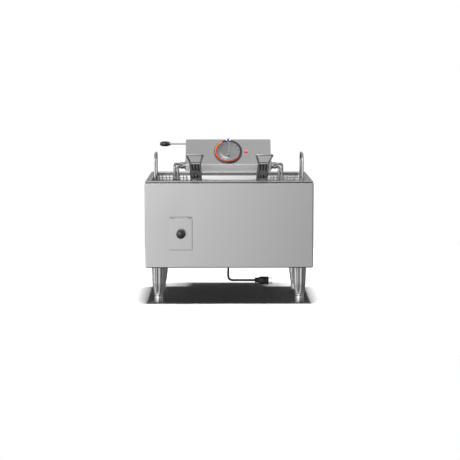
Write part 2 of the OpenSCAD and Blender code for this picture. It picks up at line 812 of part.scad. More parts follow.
module valve_lever() {
    top = valve_r + 7 + free_gap;
    color([0.80, 0.15, 0.12]) translate([-drain_x, valve_y, valve_z]) {
        translate([0, 0, ball_r - 2]) cylinder(r = stem_r, h = top - ball_r + 2 + 6);
        translate([0, 0, top]) linear_extrude(height = 3) hull() {
            circle(r = 8);
            translate([22, 0]) circle(r = 5);
        }
    }
}

// ---------- cord ----------

cord_path = [[0, head_bottom - grip_l], [0, 150], [0, 75], [0, 36], [0, 25], [1.6, 18], [6, 12.9], [13, 11],
    [28, plug_z], [54, plug_z], [81, plug_z]];

module cord_grip() {
    color([0.07, 0.07, 0.07]) translate([0, cord_y, head_bottom]) {
        translate([0, 0, -grip_l]) cylinder(r1 = cord_r + 1.8, r2 = 6.9, h = grip_l);
        cylinder(r = 6.9, h = sheet);
        translate([0, 0, sheet]) cylinder(r = 8.5, h = 3);
        translate([0, 0, -2]) cylinder(r = 9, h = 2);
    }
}

function ring_dir(i) = let (a = max(i - 1, 0), b = min(i + 1, len(cord_path) - 1))
    unit(cord_path[b] - cord_path[a]);

module cord() {
    sides = 8;
    count = len(cord_path);
    pts = [for (i = [0 : count - 1], k = [0 : sides - 1])
        let (d = ring_dir(i), a = k * 360 / sides, n = [-d.y, d.x])
        [cord_path[i].x + n.x * cord_r * cos(a), cord_y + cord_r * sin(a),
            cord_path[i].y + n.y * cord_r * cos(a)]];
    skin = [for (i = [0 : count - 2], k = [0 : sides - 1])
        [i * sides + k, i * sides + (k + 1) % sides, (i + 1) * sides + (k + 1) % sides, (i + 1) * sides + k]];
    first = [for (k = [sides - 1 : -1 : 0]) k];
    last = [for (k = [0 : sides - 1]) (count - 1) * sides + k];
    color([0.06, 0.06, 0.06]) polyhedron(points = pts, faces = concat(skin, [first], [last]));
}

module plug_body() {
    end = cord_path[len(cord_path) - 1];
    color([0.07, 0.07, 0.07]) {
        translate([end.x, cord_y, plug_z]) rotate([0, 90, 0]) linear_extrude(height = plug_grip)
            round_rect(15.6, 15, 4);
        translate([end.x + plug_grip, cord_y, plug_z]) rotate([0, 90, 0]) linear_extrude(height = plug_l)
            round_rect(2 * plug_z, 20, 5);
    }
}

module plug_blades() {
    x0 = cord_path[len(cord_path) - 1].x + plug_grip + plug_l;
    color([0.80, 0.68, 0.35]) for (z = [plug_z - 6.35, plug_z + 6.35])
        translate([x0, cord_y - 3.2, z - 0.8]) cube([blade_out, 6.4, 1.6]);
}

// ---------- assembly ----------

placed() body_wrap();
placed() rear_panel();
placed() bottom_pan();
placed() fry_tank();
placed() leg(-1, -1);  // leg_front_left
placed() leg(1, -1);  // leg_front_right
placed() leg(-1, 1);  // leg_rear_left
placed() leg(1, 1);  // leg_rear_right
placed() leg_bolts();
placed() foot(-1, -1);  // foot_front_left
placed() foot(1, -1);  // foot_front_right
placed() foot(-1, 1);  // foot_rear_left
placed() foot(1, 1);  // foot_rear_right
placed() head_housing();
placed() head_back_cover();
placed() head_screws();
placed() dial_ring();
placed() dial_heat_arc();
placed() thermostat_dial();
placed() dial_shaft();
placed() thermostat_body();
placed() high_limit();
placed() terminal_block();
placed() pilot_lens();
placed() pilot_body();
placed() latch_rod();
placed() latch_knob();
placed() latch_bush();
placed() latch_spring();
placed() pivot_shaft();
placed() pivot_bushes();
placed() mirror([1, 0, 0]) element();  // element_left
placed() element();  // element_right
placed() element_clamps();
placed() thermostat_bulb();
placed() crumb_rack();
placed() lift_handle(-1);  // lift_handle_left
placed() lift_handle(1);  // lift_handle_right
placed() rack_guards();
placed() basket(-1);  // basket_left
placed() basket_rim(-1);  // basket_rim_left
placed() basket_handle(-1);  // basket_handle_left
placed() handle_core(-1);  // handle_core_left
placed() basket(1);  // basket_right
placed() basket_rim(1);  // basket_rim_right
placed() basket_handle(1);  // basket_handle_right
placed() handle_core(1);  // handle_core_right
placed() drain_door();
placed() door_knob();
placed() door_hinge_leaf();
placed() door_hinge_pin();
placed() drain_pipe();
placed() valve_body();
placed() valve_ball();
placed() valve_lever();
placed() cord_grip();
placed() cord();
placed() plug_body();
placed() plug_blades();
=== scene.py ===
import json
import math

import bmesh
import bpy
import numpy as np
from bpy.props import FloatProperty, FloatVectorProperty, IntProperty, PointerProperty
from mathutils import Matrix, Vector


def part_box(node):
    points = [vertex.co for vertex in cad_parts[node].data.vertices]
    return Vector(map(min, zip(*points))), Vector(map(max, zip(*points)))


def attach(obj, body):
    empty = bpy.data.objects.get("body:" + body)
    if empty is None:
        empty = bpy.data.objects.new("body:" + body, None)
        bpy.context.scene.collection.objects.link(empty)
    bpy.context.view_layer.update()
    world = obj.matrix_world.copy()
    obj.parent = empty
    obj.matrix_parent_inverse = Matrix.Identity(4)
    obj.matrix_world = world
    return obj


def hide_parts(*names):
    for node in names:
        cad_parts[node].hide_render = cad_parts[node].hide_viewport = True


bl_info = {
    "name": "Countertop deep fryer",
    "version": (1, 0, 0),
    "blender": (4, 5, 0),
    "location": "View3D > Sidebar > Fryer",
    "description": "Builds the looks of a twin-basket countertop deep fryer around its packed frame",
    "category": "Object",
}

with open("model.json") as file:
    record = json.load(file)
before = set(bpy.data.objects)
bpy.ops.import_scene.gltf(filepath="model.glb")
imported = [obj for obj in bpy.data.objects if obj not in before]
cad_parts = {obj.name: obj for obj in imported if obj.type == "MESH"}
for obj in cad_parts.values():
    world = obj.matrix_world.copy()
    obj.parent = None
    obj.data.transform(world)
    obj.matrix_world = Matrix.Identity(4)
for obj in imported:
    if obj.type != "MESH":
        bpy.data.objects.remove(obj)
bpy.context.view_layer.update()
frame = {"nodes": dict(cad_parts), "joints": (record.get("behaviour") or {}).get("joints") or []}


def box_of(node):
    """Lowest and highest corner of a CAD node as arrays."""
    low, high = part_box(node)
    return np.array(low), np.array(high)


TANK_LOW, TANK_HIGH = box_of("fry_tank")
WRAP_LOW, WRAP_HIGH = box_of("body_wrap")
HEAD_LOW, HEAD_HIGH = box_of("head_housing")
MID_Y = (TANK_LOW[1] + TANK_HIGH[1]) / 2
HALF_D = (TANK_HIGH[1] - TANK_LOW[1]) / 2
HALF_W = TANK_HIGH[0]
RIM_Z = TANK_HIGH[2]
JOINTS = {joint["name"]: joint for joint in frame["joints"]}


# ---------- shapes ----------

def unit(v):
    """Vectors divided by their own length."""
    v = np.asarray(v, float)
    return v / np.linalg.norm(v, axis=-1, keepdims=True)


def bend(before, corner, after, radius, steps):
    """Points on the arc that rounds a corner: centre + radius * (cos a * out + sin a * along)."""
    u, v = unit(corner - before), unit(after - corner)
    turn = math.acos(max(-1.0, min(1.0, float(u @ v))))
    if radius <= 0 or turn < 1e-4:
        return corner[None]
    cut = radius * math.tan(turn / 2)
    inward = unit(v - (v @ u) * u)
    centre = corner - u * cut + inward * radius
    a = np.linspace(0, turn, steps + 1)[:, None]
    return centre + radius * (np.sin(a) * u - np.cos(a) * inward)


def rounded_path(points, radii, steps=8):
    """An open path whose inner corners are arcs."""
    p = np.array(points, float)
    arcs = [bend(p[i - 1], p[i], p[i + 1], radii[i], steps) for i in range(1, len(p) - 1)]
    return np.concatenate([p[:1]] + arcs + [p[-1:]])


def rounded_loop(points, radii, steps=6):
    """A closed path whose corners are arcs."""
    p = np.array(points, float)
    n = len(p)
    return np.concatenate([bend(p[i - 1], p[i], p[(i + 1) % n], radii[i], steps) for i in range(n)])


def resample(path, spacing):
    """The same path with its straight runs cut into pieces no longer than spacing."""
    run = np.linalg.norm(np.diff(path, axis=0), axis=1)
    counts = np.maximum(1, np.ceil(run / spacing).astype(int))
    pieces = [path[i] + (path[i + 1] - path[i]) * np.linspace(0, 1, c, endpoint=False)[:, None]
              for i, c in enumerate(counts)]
    return np.concatenate(pieces + [path[-1:]])


def grid_faces(nu, nv, wrap_u=False, wrap_v=False):
    """Four corner numbers for each cell of a grid of nu by nv points."""
    i = np.arange(nu if wrap_u else nu - 1)[:, None]
    j = np.arange(nv if wrap_v else nv - 1)[None]
    i2, j2 = (i + 1) % nu, (j + 1) % nv
    return np.stack([i * nv + j, i2 * nv + j, i2 * nv + j2, i * nv + j2], -1).reshape(-1, 4)


def grid(points, wrap_u=False, wrap_v=False, keep=None):
    """A surface through an array of points (nu, nv, 3); keep marks the cells that stay."""
    nu, nv = points.shape[:2]
    faces = grid_faces(nu, nv, wrap_u, wrap_v)
    if keep is not None:
        faces = faces[keep.reshape(-1)]
    return points.reshape(-1, 3), [faces]


def loft(loops, closed_ends=True):
    """A skin over closed loops (k, n, 3), with a flat face on the first and the last one."""
    k, n = loops.shape[:2]
    faces = [grid_faces(k, n, wrap_v=True)]
    if closed_ends:
        faces += [np.arange(n)[None, ::-1], (np.arange(n) + (k - 1) * n)[None]]
    return loops.reshape(-1, 3), faces


def tube(path, radius, sides=12, closed=False):
    """A round tube: each ring is path + radius * (cos a * normal + sin a * binormal)."""
    path = np.asarray(path, float)
    ahead = np.roll(path, -1, 0) - path
    behind = path - np.roll(path, 1, 0)
    if not closed:
        ahead[-1], behind[0] = behind[-1], ahead[0]
    tangent = unit(unit(ahead) + unit(behind))
    normal = np.empty_like(path)
    start = np.eye(3)[np.argmin(np.abs(tangent[0]))]
    normal[0] = unit(start - (start @ tangent[0]) * tangent[0])
    for i in range(1, len(path)):
        side = normal[i - 1] - (normal[i - 1] @ tangent[i]) * tangent[i]
        normal[i] = unit(side)
    across = np.cross(tangent, normal)
    a = np.linspace(0, 2 * math.pi, sides, endpoint=False)[None, :, None]
    r = np.broadcast_to(np.asarray(radius, float).reshape(-1, 1, 1), (len(path), 1, 1))
    rings = path[:, None] + r * (np.cos(a) * normal[:, None] + np.sin(a) * across[:, None])
    if closed:
        return grid(rings, wrap_u=True, wrap_v=True)
    return loft(rings)


def basis(axis, up=(0, 0, 1)):
    """Three unit columns, the last of them along axis."""
    z = unit(axis)
    up = np.array(up, float)
    x = unit(np.cross(up, z)) if abs(up @ z) < 0.99 else np.array([1.0, 0, 0])
    return np.stack([x, np.cross(z, x), z], 1)


def revolve(profile, centre, axis, segments=48, start=0.0, sweep=2 * math.pi):
    """A profile of (radius, height) pairs turned about an axis through centre."""
    profile = np.array(profile, float)
    whole = abs(sweep - 2 * math.pi) < 1e-6
    a = start + np.linspace(0, sweep, segments if whole else segments + 1, endpoint=not whole)
    r, h = profile[:, 0][:, None], profile[:, 1][:, None]
    local = np.stack([r * np.cos(a), r * np.sin(a), h + 0 * a], -1)
    placed = local @ basis(axis).T + np.asarray(centre, float)
    if whole:
        return loft(placed)
    return grid(placed)


def rounded_rect(width, height, radius, steps=6):
    """A closed loop of (x, y) points with four round corners."""
    x, y = width / 2, height / 2
    corners = [(x, -y), (x, y), (-x, y), (-x, -y)]
    return rounded_loop(corners, [radius] * 4, steps)


def edge_round(outline, depth, radius, steps=4):
    """Loops that push an outline through depth, with both rims rounded by moving it inward."""
    centre = outline.mean(0)
    span = np.abs(outline - centre).max(0)
    a = np.linspace(0, math.pi / 2, steps + 1)
    inset = np.concatenate([radius * (1 - np.sin(a)), radius * (1 - np.cos(a))])
    z = np.concatenate([radius * (1 - np.cos(a)), depth - radius * (1 - np.sin(a))])
    shrink = 1 - inset[:, None, None] / span
    flat = centre + (outline[None] - centre) * shrink
    return np.concatenate([flat, np.broadcast_to(z[:, None, None], flat.shape[:2] + (1,))], -1)


def placed(shape, axes, origin):
    """A shape moved from local axes to the frame."""
    return shape[0] @ np.asarray(axes).T + np.asarray(origin, float), shape[1]


def joined(*shapes):
    """Several shapes as one."""
    count, verts, faces = 0, [], []
    for v, f in shapes:
        verts.append(v)
        faces += [block + count for block in f]
        count += len(v)
    return np.concatenate(verts), faces


def build(name, shape, material, body, replace=(), solid=True, thickness=0.0, flat=False,
          sheet=False):
    """Makes the mesh object, gives it its finish and sets it riding on its body.

    A sheet's large flat faces keep their own normal, and only its narrow bends shade smoothly.
    """
    verts, faces = shape
    mesh = bpy.data.meshes.new(name)
    mesh.from_pydata(verts.tolist(), [], [f for block in faces for f in block.tolist()])
    mesh.validate()
    if solid:
        work = bmesh.new()
        work.from_mesh(mesh)
        bmesh.ops.recalc_face_normals(work, faces=work.faces)
        work.to_mesh(mesh)
        work.free()
    obj = bpy.data.objects.new(name, mesh)
    bpy.context.scene.collection.objects.link(obj)
    mesh.polygons.foreach_set("use_smooth", np.full(len(mesh.polygons), not flat))
    if not flat:
        mesh.set_sharp_from_angle(angle=math.radians(40))
    if thickness:
        wall = obj.modifiers.new("wall", "SOLIDIFY")
        wall.thickness = thickness
        wall.offset = -1.0
    if sheet:
        even = obj.modifiers.new("even", "WEIGHTED_NORMAL")
        even.weight = 100
        even.keep_sharp = True
    mesh.materials.append(material)
    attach(obj, body)
    if replace:
        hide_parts(*replace)
    return obj


# ---------- materials ----------

class Value:
    """A number inside a material; each operator adds one Math node."""

    def __init__(self, finish, socket):
        self.finish = finish
        self.socket = socket

    def _math(self, operation, first, second):
        return self.finish.node("ShaderNodeMath", {"operation": operation}, {0: first, 1: second})

    def __add__(self, other):
        return self._math("ADD", self, other)

    __radd__ = __add__

    def __mul__(self, other):
        return self._math("MULTIPLY", self, other)

    __rmul__ = __mul__

    def __sub__(self, other):
        return self._math("SUBTRACT", self, other)

    def __rsub__(self, other):
        return self._math("SUBTRACT", other, self)


class Finish:
    """One procedural material built on a Principled shader."""

    def __init__(self, name, **settings):
        self.material = bpy.data.materials.new(name)
        self.material.use_nodes = True
        self.tree = self.material.node_tree
        self.shader = self.tree.nodes["Principled BSDF"]
        for key, value in settings.items():
            self.set(key.replace("_", " ").title().replace("Ior", "IOR"), value)

    def set(self, socket, value):
        self._fill(self.shader.inputs[socket], value)

    def _fill(self, socket, value):
        if isinstance(value, Value):
            self.tree.links.new(value.socket, socket)
        elif socket.type == "RGBA" and len(value) == 3:
            socket.default_value = (*value, 1.0)
        else:
            socket.default_value = value

    def node(self, kind, settings=None, inputs=None, output=0):
        new = self.tree.nodes.new(kind)
        for key, value in (settings or {}).items():
            if key == "stops":
                self._stops(new.color_ramp, value)
            else:
                setattr(new, key, value)
        for key, value in (inputs or {}).items():
            self._fill(new.inputs[key], value)
        return Value(self, new.outputs[output])

    def _stops(self, ramp, stops):
        while len(ramp.elements) < len(stops):
            ramp.elements.new(0.5)
        for element, (position, color) in zip(ramp.elements, stops):
            element.position = position
            element.color = (*color, 1.0)

    def place(self, scale=(1, 1, 1), offset=(0, 0, 0), turn=(0, 0, 0)):
        """Object coordinates in metres, moved, turned and scaled."""
        coords = self.node("ShaderNodeTexCoord", output="Object")
        return self.node("ShaderNodeMapping", {}, {"Vector": coords, "Scale": scale, "Location": offset,
                                                   "Rotation": turn})

    def noise(self, scale, stretch=(1, 1, 1), detail=3.0, rough=0.5, turn=(0, 0, 0)):
        return self.node("ShaderNodeTexNoise", {}, {"Vector": self.place(stretch, turn=turn), "Scale": scale,
                                                    "Detail": detail, "Roughness": rough})

    def blend(self, factor, low, high):
        """A colour between low and high."""
        return self.node("ShaderNodeValToRGB", {"stops": [(0.0, low), (1.0, high)]}, {"Fac": factor})

    def bump(self, height, distance, strength=1.0):
        self.set("Normal", self.node("ShaderNodeBump", {}, {"Height": height, "Distance": distance,
                                                            "Strength": strength}))


def shade(color, amount):
    """The same colour, lighter or darker."""
    return tuple(min(1.0, max(0.0, c * amount)) for c in color)


def brushed_steel(name, color, rough=0.32, grain=(6, 6, 1400), depth=0.00002, turn=(0, 0, 0), band=None):
    """Stainless sheet: long fine scratches along one direction and faint cloudy tone.

    Between the two heights of band, if given, the metal's colour is painted dark as painted shade.
    """
    finish = Finish(name, metallic=1.0)
    scratch = finish.noise(1.0, grain, detail=4.0, rough=0.7, turn=turn)
    cloud = finish.noise(6.0, detail=1.0)
    tone = scratch * 0.7 + cloud * 0.3
    base = finish.blend(tone, shade(color, 0.93), shade(color, 1.07))
    # painted shade: a dark band of colour between the two heights stands in for the shade under the tank's
    # rim
    if band:
        height = finish.node("ShaderNodeSeparateXYZ", {}, {"Vector": finish.place()}, "Z")
        in_painted_shade = [finish.node("ShaderNodeMapRange", {}, {"Value": height, "From Min": edge - 0.0006,
                                                         "From Max": edge + 0.0006}) for edge in band]
        base = finish.node("ShaderNodeMix", {"data_type": "RGBA"},
                           {0: in_painted_shade[0] - in_painted_shade[1], 6: base, 7: shade(color, 0.25)}, 2)
    finish.set("Base Color", base)
    finish.set("Roughness", scratch * 0.12 + (rough - 0.06))
    finish.bump(scratch, depth, 0.35)
    return finish.material


def drawn_wire(name, color, rough=0.2):
    """Plated wire: bright metal with dull spots."""
    finish = Finish(name, metallic=1.0)
    spots = finish.noise(160.0, detail=4.0)
    cloud = finish.noise(25.0, detail=2.0)
    finish.set("Base Color", finish.blend(cloud, shade(color, 0.86), shade(color, 1.08)))
    finish.set("Roughness", spots * 0.2 + (rough - 0.08))
    finish.bump(spots, 0.00005, 0.4)
    return finish.material


def cast_metal(name, color, rough=0.34):
    """Cast and buffed metal: soft pits and a wavy skin."""
    finish = Finish(name, metallic=1.0)
    pits = finish.noise(420.0, detail=3.0, rough=0.6)
    waves = finish.noise(45.0, detail=2.0)
    finish.set("Base Color", finish.blend(waves, shade(color, 0.84), shade(color, 1.06)))
    finish.set("Roughness", waves * 0.18 + (rough - 0.09))
    finish.bump(pits, 0.00012, 0.45)
    return finish.material


def turned_metal(name, color, rough=0.18):
    """Machined bar: plain metal with a fine all-over tool mark."""
    finish = Finish(name, metallic=1.0)
    marks = finish.noise(700.0, detail=2.0)
    cloud = finish.noise(20.0, detail=2.0)
    finish.set("Base Color", finish.blend(cloud, shade(color, 0.88), shade(color, 1.05)))
    finish.set("Roughness", marks * 0.1 + (rough - 0.05))
    finish.bump(marks, 0.00003, 0.35)
    return finish.material


def moulded(name, color, rough=0.3, coat=0.0, texture=900.0, depth=0.00004):
    """Moulded plastic: fine pebble, slight tone changes and handling marks."""
    finish = Finish(name, coat_weight=coat, coat_roughness=0.15)
    pebble = finish.noise(texture, detail=2.0)
    wear = finish.noise(60.0, detail=3.0)
    finish.set("Base Color", finish.blend(wear, shade(color, 0.85), shade(color, 1.2)))
    finish.set("Roughness", wear * 0.16 + (rough - 0.08))
    finish.bump(pebble, depth, 0.5)
    return finish.material


def soft_rubber(name, color):
    """Cord jacket: dull black with a dusty bloom."""
    finish = Finish(name)
    dust = finish.noise(210.0, detail=4.0)
    finish.set("Base Color", finish.blend(dust, shade(color, 0.8), shade(color, 1.5)))
    finish.set("Roughness", dust * 0.2 + 0.42)
    finish.bump(dust, 0.00006, 0.4)
    return finish.material


MATERIALS = {}


def material(name):
    """Each finish is made once, on first use."""
    if name not in MATERIALS:
        MATERIALS[name] = RECIPES[name]()
    return MATERIALS[name]


def heated_tube():
    """Alloy sheath that has been hot: grey with darker, faintly brown patches."""
    finish = Finish("heated_tube", metallic=1.0)
    patch = finish.noise(60.0, detail=4.0)
    fine = finish.noise(300.0, detail=3.0)
    colors = [(0.0, (0.24, 0.225, 0.21)), (0.45, (0.52, 0.515, 0.51)), (1.0, (0.72, 0.72, 0.72))]
    finish.set("Base Color", finish.node("ShaderNodeValToRGB", {"stops": colors}, {"Fac": patch}))
    finish.set("Roughness", fine * 0.2 + 0.26)
    finish.bump(fine, 0.00006, 0.4)
    return finish.material


def heat_arc():
    """Printed band: orange at the upper left, red at the bottom and dark red at the right."""
    finish = Finish("heat_arc", roughness=0.35, coat_weight=0.3)
    centre, axes = dial_frame()
    coords = finish.node("ShaderNodeTexCoord", output="Object")
    local = finish.node("ShaderNodeVectorMath", {"operation": "SUBTRACT"}, {0: coords, 1: tuple(centre)})
    along = finish.node("ShaderNodeVectorMath", {"operation": "DOT_PRODUCT"},
                        {0: local, 1: tuple(axes[:, 0])}, output="Value")
    upward = finish.node("ShaderNodeVectorMath", {"operation": "DOT_PRODUCT"},
                         {0: local, 1: tuple(axes[:, 1])}, output="Value")
    turn = finish.node("ShaderNodeMath", {"operation": "ARCTAN2"}, {0: upward, 1: along * -1.0})
    share = turn * (-0.5 / math.pi) + 0.5
    grain = finish.noise(300.0, detail=2.0)
    colors = [(0.20, (0.82, 0.29, 0.07)), (0.42, (0.74, 0.15, 0.03)), (0.60, (0.56, 0.045, 0.016)),
              (0.80, (0.27, 0.016, 0.012))]
    ramp = finish.node("ShaderNodeValToRGB", {"stops": colors}, {"Fac": share + grain * 0.03})
    finish.set("Base Color", ramp)
    finish.bump(grain, 0.00003, 0.3)
    return finish.material


def red_lens():
    """Ribbed red lamp lens, faintly lit from inside."""
    finish = Finish("red_lens", roughness=0.12, coat_weight=0.6, emission_strength=0.35)
    ribs = finish.noise(500.0, detail=1.0)
    finish.set("Base Color", finish.blend(ribs, (0.75, 0.02, 0.03), (0.95, 0.10, 0.10)))
    finish.set("Emission Color", finish.blend(ribs, (0.8, 0.02, 0.03), (1.0, 0.15, 0.12)))
    finish.bump(ribs, 0.00008, 0.4)
    return finish.material


RECIPES = {
    "cabinet": lambda: brushed_steel("cabinet_steel", (0.62, 0.62, 0.62), 0.32),
    # pan: the bottom pan's steel is made dark so it throws little light back onto the floor and the shadow
    # under the fryer reads darker: painted shade
    "pan": lambda: brushed_steel("pan_steel", (0.16, 0.16, 0.165), 0.55),
    # tank: painted shade, a dark band of colour just under the rim standing in for shade; the crumb rack
    # shares this finish
    "tank": lambda: brushed_steel("tank_steel", (0.66, 0.66, 0.67), 0.20, (900, 6, 6),
                                  band=(RIM_Z - 0.0108, RIM_Z - 0.0032)),
    # head: the same steel as the cabinet made lighter (0.88 against 0.62) so the head reads brighter:
    # painted light
    "head": lambda: brushed_steel("head_steel", (0.88, 0.88, 0.89), 0.30),
    "door": lambda: brushed_steel("door_steel", (0.61, 0.61, 0.61), 0.32),
    "bush": lambda: turned_metal("bush_bronze", (0.42, 0.39, 0.34), 0.36),
    "wire": lambda: drawn_wire("wire_plating", (0.74, 0.74, 0.75)),
    "grip": lambda: drawn_wire("grip_plating", (0.80, 0.80, 0.80), 0.34),
    "mesh": lambda: drawn_wire("mesh_plating", (0.60, 0.60, 0.61), 0.28),
    "leg": lambda: cast_metal("cast_leg", (0.62, 0.62, 0.63)),
    "foot": lambda: turned_metal("foot_chrome", (0.78, 0.78, 0.79), 0.10),
    "zinc": lambda: turned_metal("zinc_plate", (0.60, 0.60, 0.62), 0.30),
    "brass": lambda: turned_metal("turned_brass", (0.62, 0.46, 0.20), 0.24),
    "copper": lambda: turned_metal("bulb_copper", (0.62, 0.32, 0.18), 0.28),
    "ball": lambda: turned_metal("ball_steel", (0.75, 0.75, 0.77), 0.08),
    "tube": heated_tube,
    "arc": heat_arc,
    "lens": red_lens,
    "dial_face": lambda: brushed_steel("dial_face", (0.62, 0.63, 0.65), 0.34, (10, 700, 700)),
    "dial_bar": lambda: turned_metal("dial_bar", (0.72, 0.72, 0.74), 0.22),
    "mark": lambda: moulded("dial_mark", (0.06, 0.06, 0.07), 0.5),
    "blue": lambda: moulded("index_blue", (0.05, 0.06, 0.30), 0.4),
    "pale": lambda: moulded("index_pale", (0.80, 0.80, 0.76), 0.5),
    "ring": lambda: moulded("dial_ring", (0.02, 0.02, 0.022), 0.28, 0.5),
    "knob": lambda: moulded("black_knob", (0.016, 0.016, 0.017), 0.26, 0.6),
    "insert": lambda: moulded("handle_insert", (0.022, 0.022, 0.024), 0.5),
    "phenolic": lambda: moulded("phenolic", (0.05, 0.04, 0.035), 0.5),
    "ceramic": lambda: moulded("ceramic", (0.78, 0.77, 0.73), 0.35),
    "lever": lambda: moulded("dipped_lever", (0.55, 0.03, 0.02), 0.3, 0.3),
    "cord": lambda: soft_rubber("cord_jacket", (0.014, 0.014, 0.015)),
    "plug": lambda: moulded("plug_rubber", (0.016, 0.016, 0.017), 0.4, 0.1),
    "blade": lambda: turned_metal("blade_brass", (0.72, 0.56, 0.28), 0.22),
}


def finish_nodes(finish, *nodes):
    """Gives CAD nodes a finish."""
    for node in nodes:
        slots = frame["nodes"][node].data.materials
        slots.clear()
        slots.append(material(finish))


# ---------- the sloped face ----------

def dial_frame():
    """Centre of the sloped face and its axes: across, up the slope, outward."""
    joint = JOINTS["thermostat_turn"]
    outward = -unit(joint["axis"])
    across = np.array([1.0, 0, 0])
    return np.array(joint["pos_m"], float), np.stack([across, np.cross(outward, across), outward], 1)


# ---------- settings ----------

class CabinetSettings(bpy.types.PropertyGroup):
    bend_radius: FloatProperty(name="Bend radius", description="Outer radius of the sheet's bends",
                               default=0.0022, min=0.001, max=0.005, unit="LENGTH")
    hem: FloatProperty(name="Hem", description="Width of the inward flange at the bottom",
                       default=0.012, min=0.004, max=0.03, unit="LENGTH")
    flutes: IntProperty(name="Flutes", description="Number of flutes round a leg", default=10, min=6, max=16)


class WireSettings(bpy.types.PropertyGroup):
    pitch: FloatProperty(name="Mesh pitch", description="Distance between the mesh wires",
                         default=0.0075, min=0.005, max=0.015, unit="LENGTH")
    mesh_wire: FloatProperty(name="Mesh wire", description="Radius of a mesh wire",
                             default=0.0006, min=0.0004, max=0.001, unit="LENGTH")
    handle_wire: FloatProperty(name="Handle wire", description="Radius of a handle wire",
                               default=0.0025, min=0.0015, max=0.003, unit="LENGTH")


class StageSettings(bpy.types.PropertyGroup):
    lens: FloatProperty(name="Lens", description="Focal length in millimetres", default=109.34)
    place: FloatVectorProperty(name="Camera", description="Place of the camera", size=3, unit="LENGTH",
                               default=(-0.0289, -3.9361, 0.6461))
    floor_color: FloatVectorProperty(name="Floor", description="Colour of the floor", subtype="COLOR",
                                     size=3, default=(0.85, 0.85, 0.85))


# ---------- pieces ----------

class FRYER_OT_stage(bpy.types.Operator):
    """Camera, floor and soft studio light"""
    bl_idname = "fryer.stage"
    bl_label = "Stage"

    def execute(self, context):
        settings = context.scene.fryer_stage
        data = bpy.data.cameras.new("camera")
        data.lens = settings.lens
        data.sensor_width = 36.0
        data.clip_end = 60.0
        camera = bpy.data.objects.new("camera", data)
        camera.location = settings.place
        camera.rotation_euler = (math.radians(90 - 6.575), 0, math.radians(-0.469))
        context.scene.collection.objects.link(camera)
        context.scene.camera = camera
        self.floor(settings)
        self.light("front_lamp", (0.03, MID_Y - 0.93, 2.6), 0.7, 0.3, 112)
        self.light("rear_lamp", (0.03, MID_Y + 0.46, 2.6), 0.7, 0.3, 100)
        self.sky(context.scene)
        context.scene.view_settings.view_transform = "Standard"
        return {"FINISHED"}

    def floor(self, settings):
        finish = Finish("floor", roughness=0.85)
        finish.set("Base Color", tuple(settings.floor_color))
        mesh = bpy.data.meshes.new("floor")
        x, front, rear = 1.1, -0.8, 1.1
        mesh.from_pydata([(-x, front, 0), (x, front, 0), (x, rear, 0), (-x, rear, 0)], [], [(0, 1, 2, 3)])
        mesh.materials.append(finish.material)
        floor = bpy.data.objects.new("floor", mesh)
        floor.visible_glossy = False
        bpy.context.scene.collection.objects.link(floor)

    def light(self, name, place, width, depth, power):
        """A soft lamp facing straight down, left out of what the metal mirrors."""
        data = bpy.data.lights.new(name, "AREA")
        data.shape = "RECTANGLE"
        data.size, data.size_y = width, depth
        data.energy = power
        lamp = bpy.data.objects.new(name, data)
        lamp.location = place
        lamp.visible_glossy = False
        bpy.context.scene.collection.objects.link(lamp)

    def sky(self, scene):
        """White to the camera; metal mirrors a studio: bright front left, dim sides, grey above."""
        world = bpy.data.worlds.new("studio")
        scene.world = world
        world.use_nodes = True
        tree = world.node_tree

        def node(kind, inputs, **settings):
            new = tree.nodes.new(kind)
            for key, value in settings.items():
                setattr(new, key, value)
            for key, value in inputs.items():
                if isinstance(value, bpy.types.NodeSocket):
                    tree.links.new(value, new.inputs[key])
                else:
                    new.inputs[key].default_value = value
            return new

        def ramp(value, stops):
            new = node("ShaderNodeValToRGB", {"Fac": value})
            while len(new.color_ramp.elements) < len(stops):
                new.color_ramp.elements.new(0.5)
            for element, (place, level) in zip(new.color_ramp.elements, stops):
                element.position = place
                element.color = (level, level, level, 1.0)
            return new.outputs["Color"]

        def mix(factor, low, high):
            return node("ShaderNodeMix", {"Factor": factor, "A": low, "B": high},
                        data_type="FLOAT").outputs["Result"]

        def times(first, second):
            return node("ShaderNodeMath", {0: first, 1: second}, operation="MULTIPLY").outputs[0]

        coords = node("ShaderNodeTexCoord", {}).outputs["Generated"]
        axes = node("ShaderNodeSeparateXYZ", {"Vector": coords}).outputs
        across = node("ShaderNodeMath", {0: axes["X"], 1: 0.5, 2: 0.5}, operation="MULTIPLY_ADD").outputs[0]
        front = ramp(across, [(0.03, 0.45), (0.16, 1.0), (0.485, 1.0), (0.53, 0.10), (0.86, 0.24),
                              (0.97, 0.12)])
        above = ramp(across, [(0.10, 0.12), (0.35, 0.13), (0.65, 0.26), (0.90, 0.22)])
        height = node("ShaderNodeMapRange", {"Value": axes["Z"], "From Min": 0.35,
                                             "From Max": 0.80}).outputs[0]
        behind = node("ShaderNodeMapRange", {"Value": axes["Y"], "From Min": -0.1,
                                             "From Max": 0.4}).outputs[0]
        ground = node("ShaderNodeMapRange", {"Value": axes["Z"], "From Min": 0.20, "From Max": -0.60,
                                             "To Min": 1.0, "To Max": 0.10}).outputs[0]
        studio = mix(behind, mix(height, front, above), mix(height, 0.18, above))
        rays = node("ShaderNodeLightPath", {}).outputs
        seen = mix(rays["Is Glossy Ray"], 0.02, times(times(studio, ground), 2.1))
        back = tree.nodes["Background"]
        tree.links.new(mix(rays["Is Camera Ray"], seen, 1.0), back.inputs["Strength"])
        back.inputs["Color"].default_value = (1, 1, 1, 1)


CORD_ROUTE = [(0.0, 0.2204), (0.0, 0.150), (0.0, 0.075), (0.0, 0.036), (0.0, 0.025), (0.0016, 0.018),
              (0.006, 0.0129), (0.013, 0.011), (0.028, 0.011), (0.054, 0.011), (0.081, 0.011)]


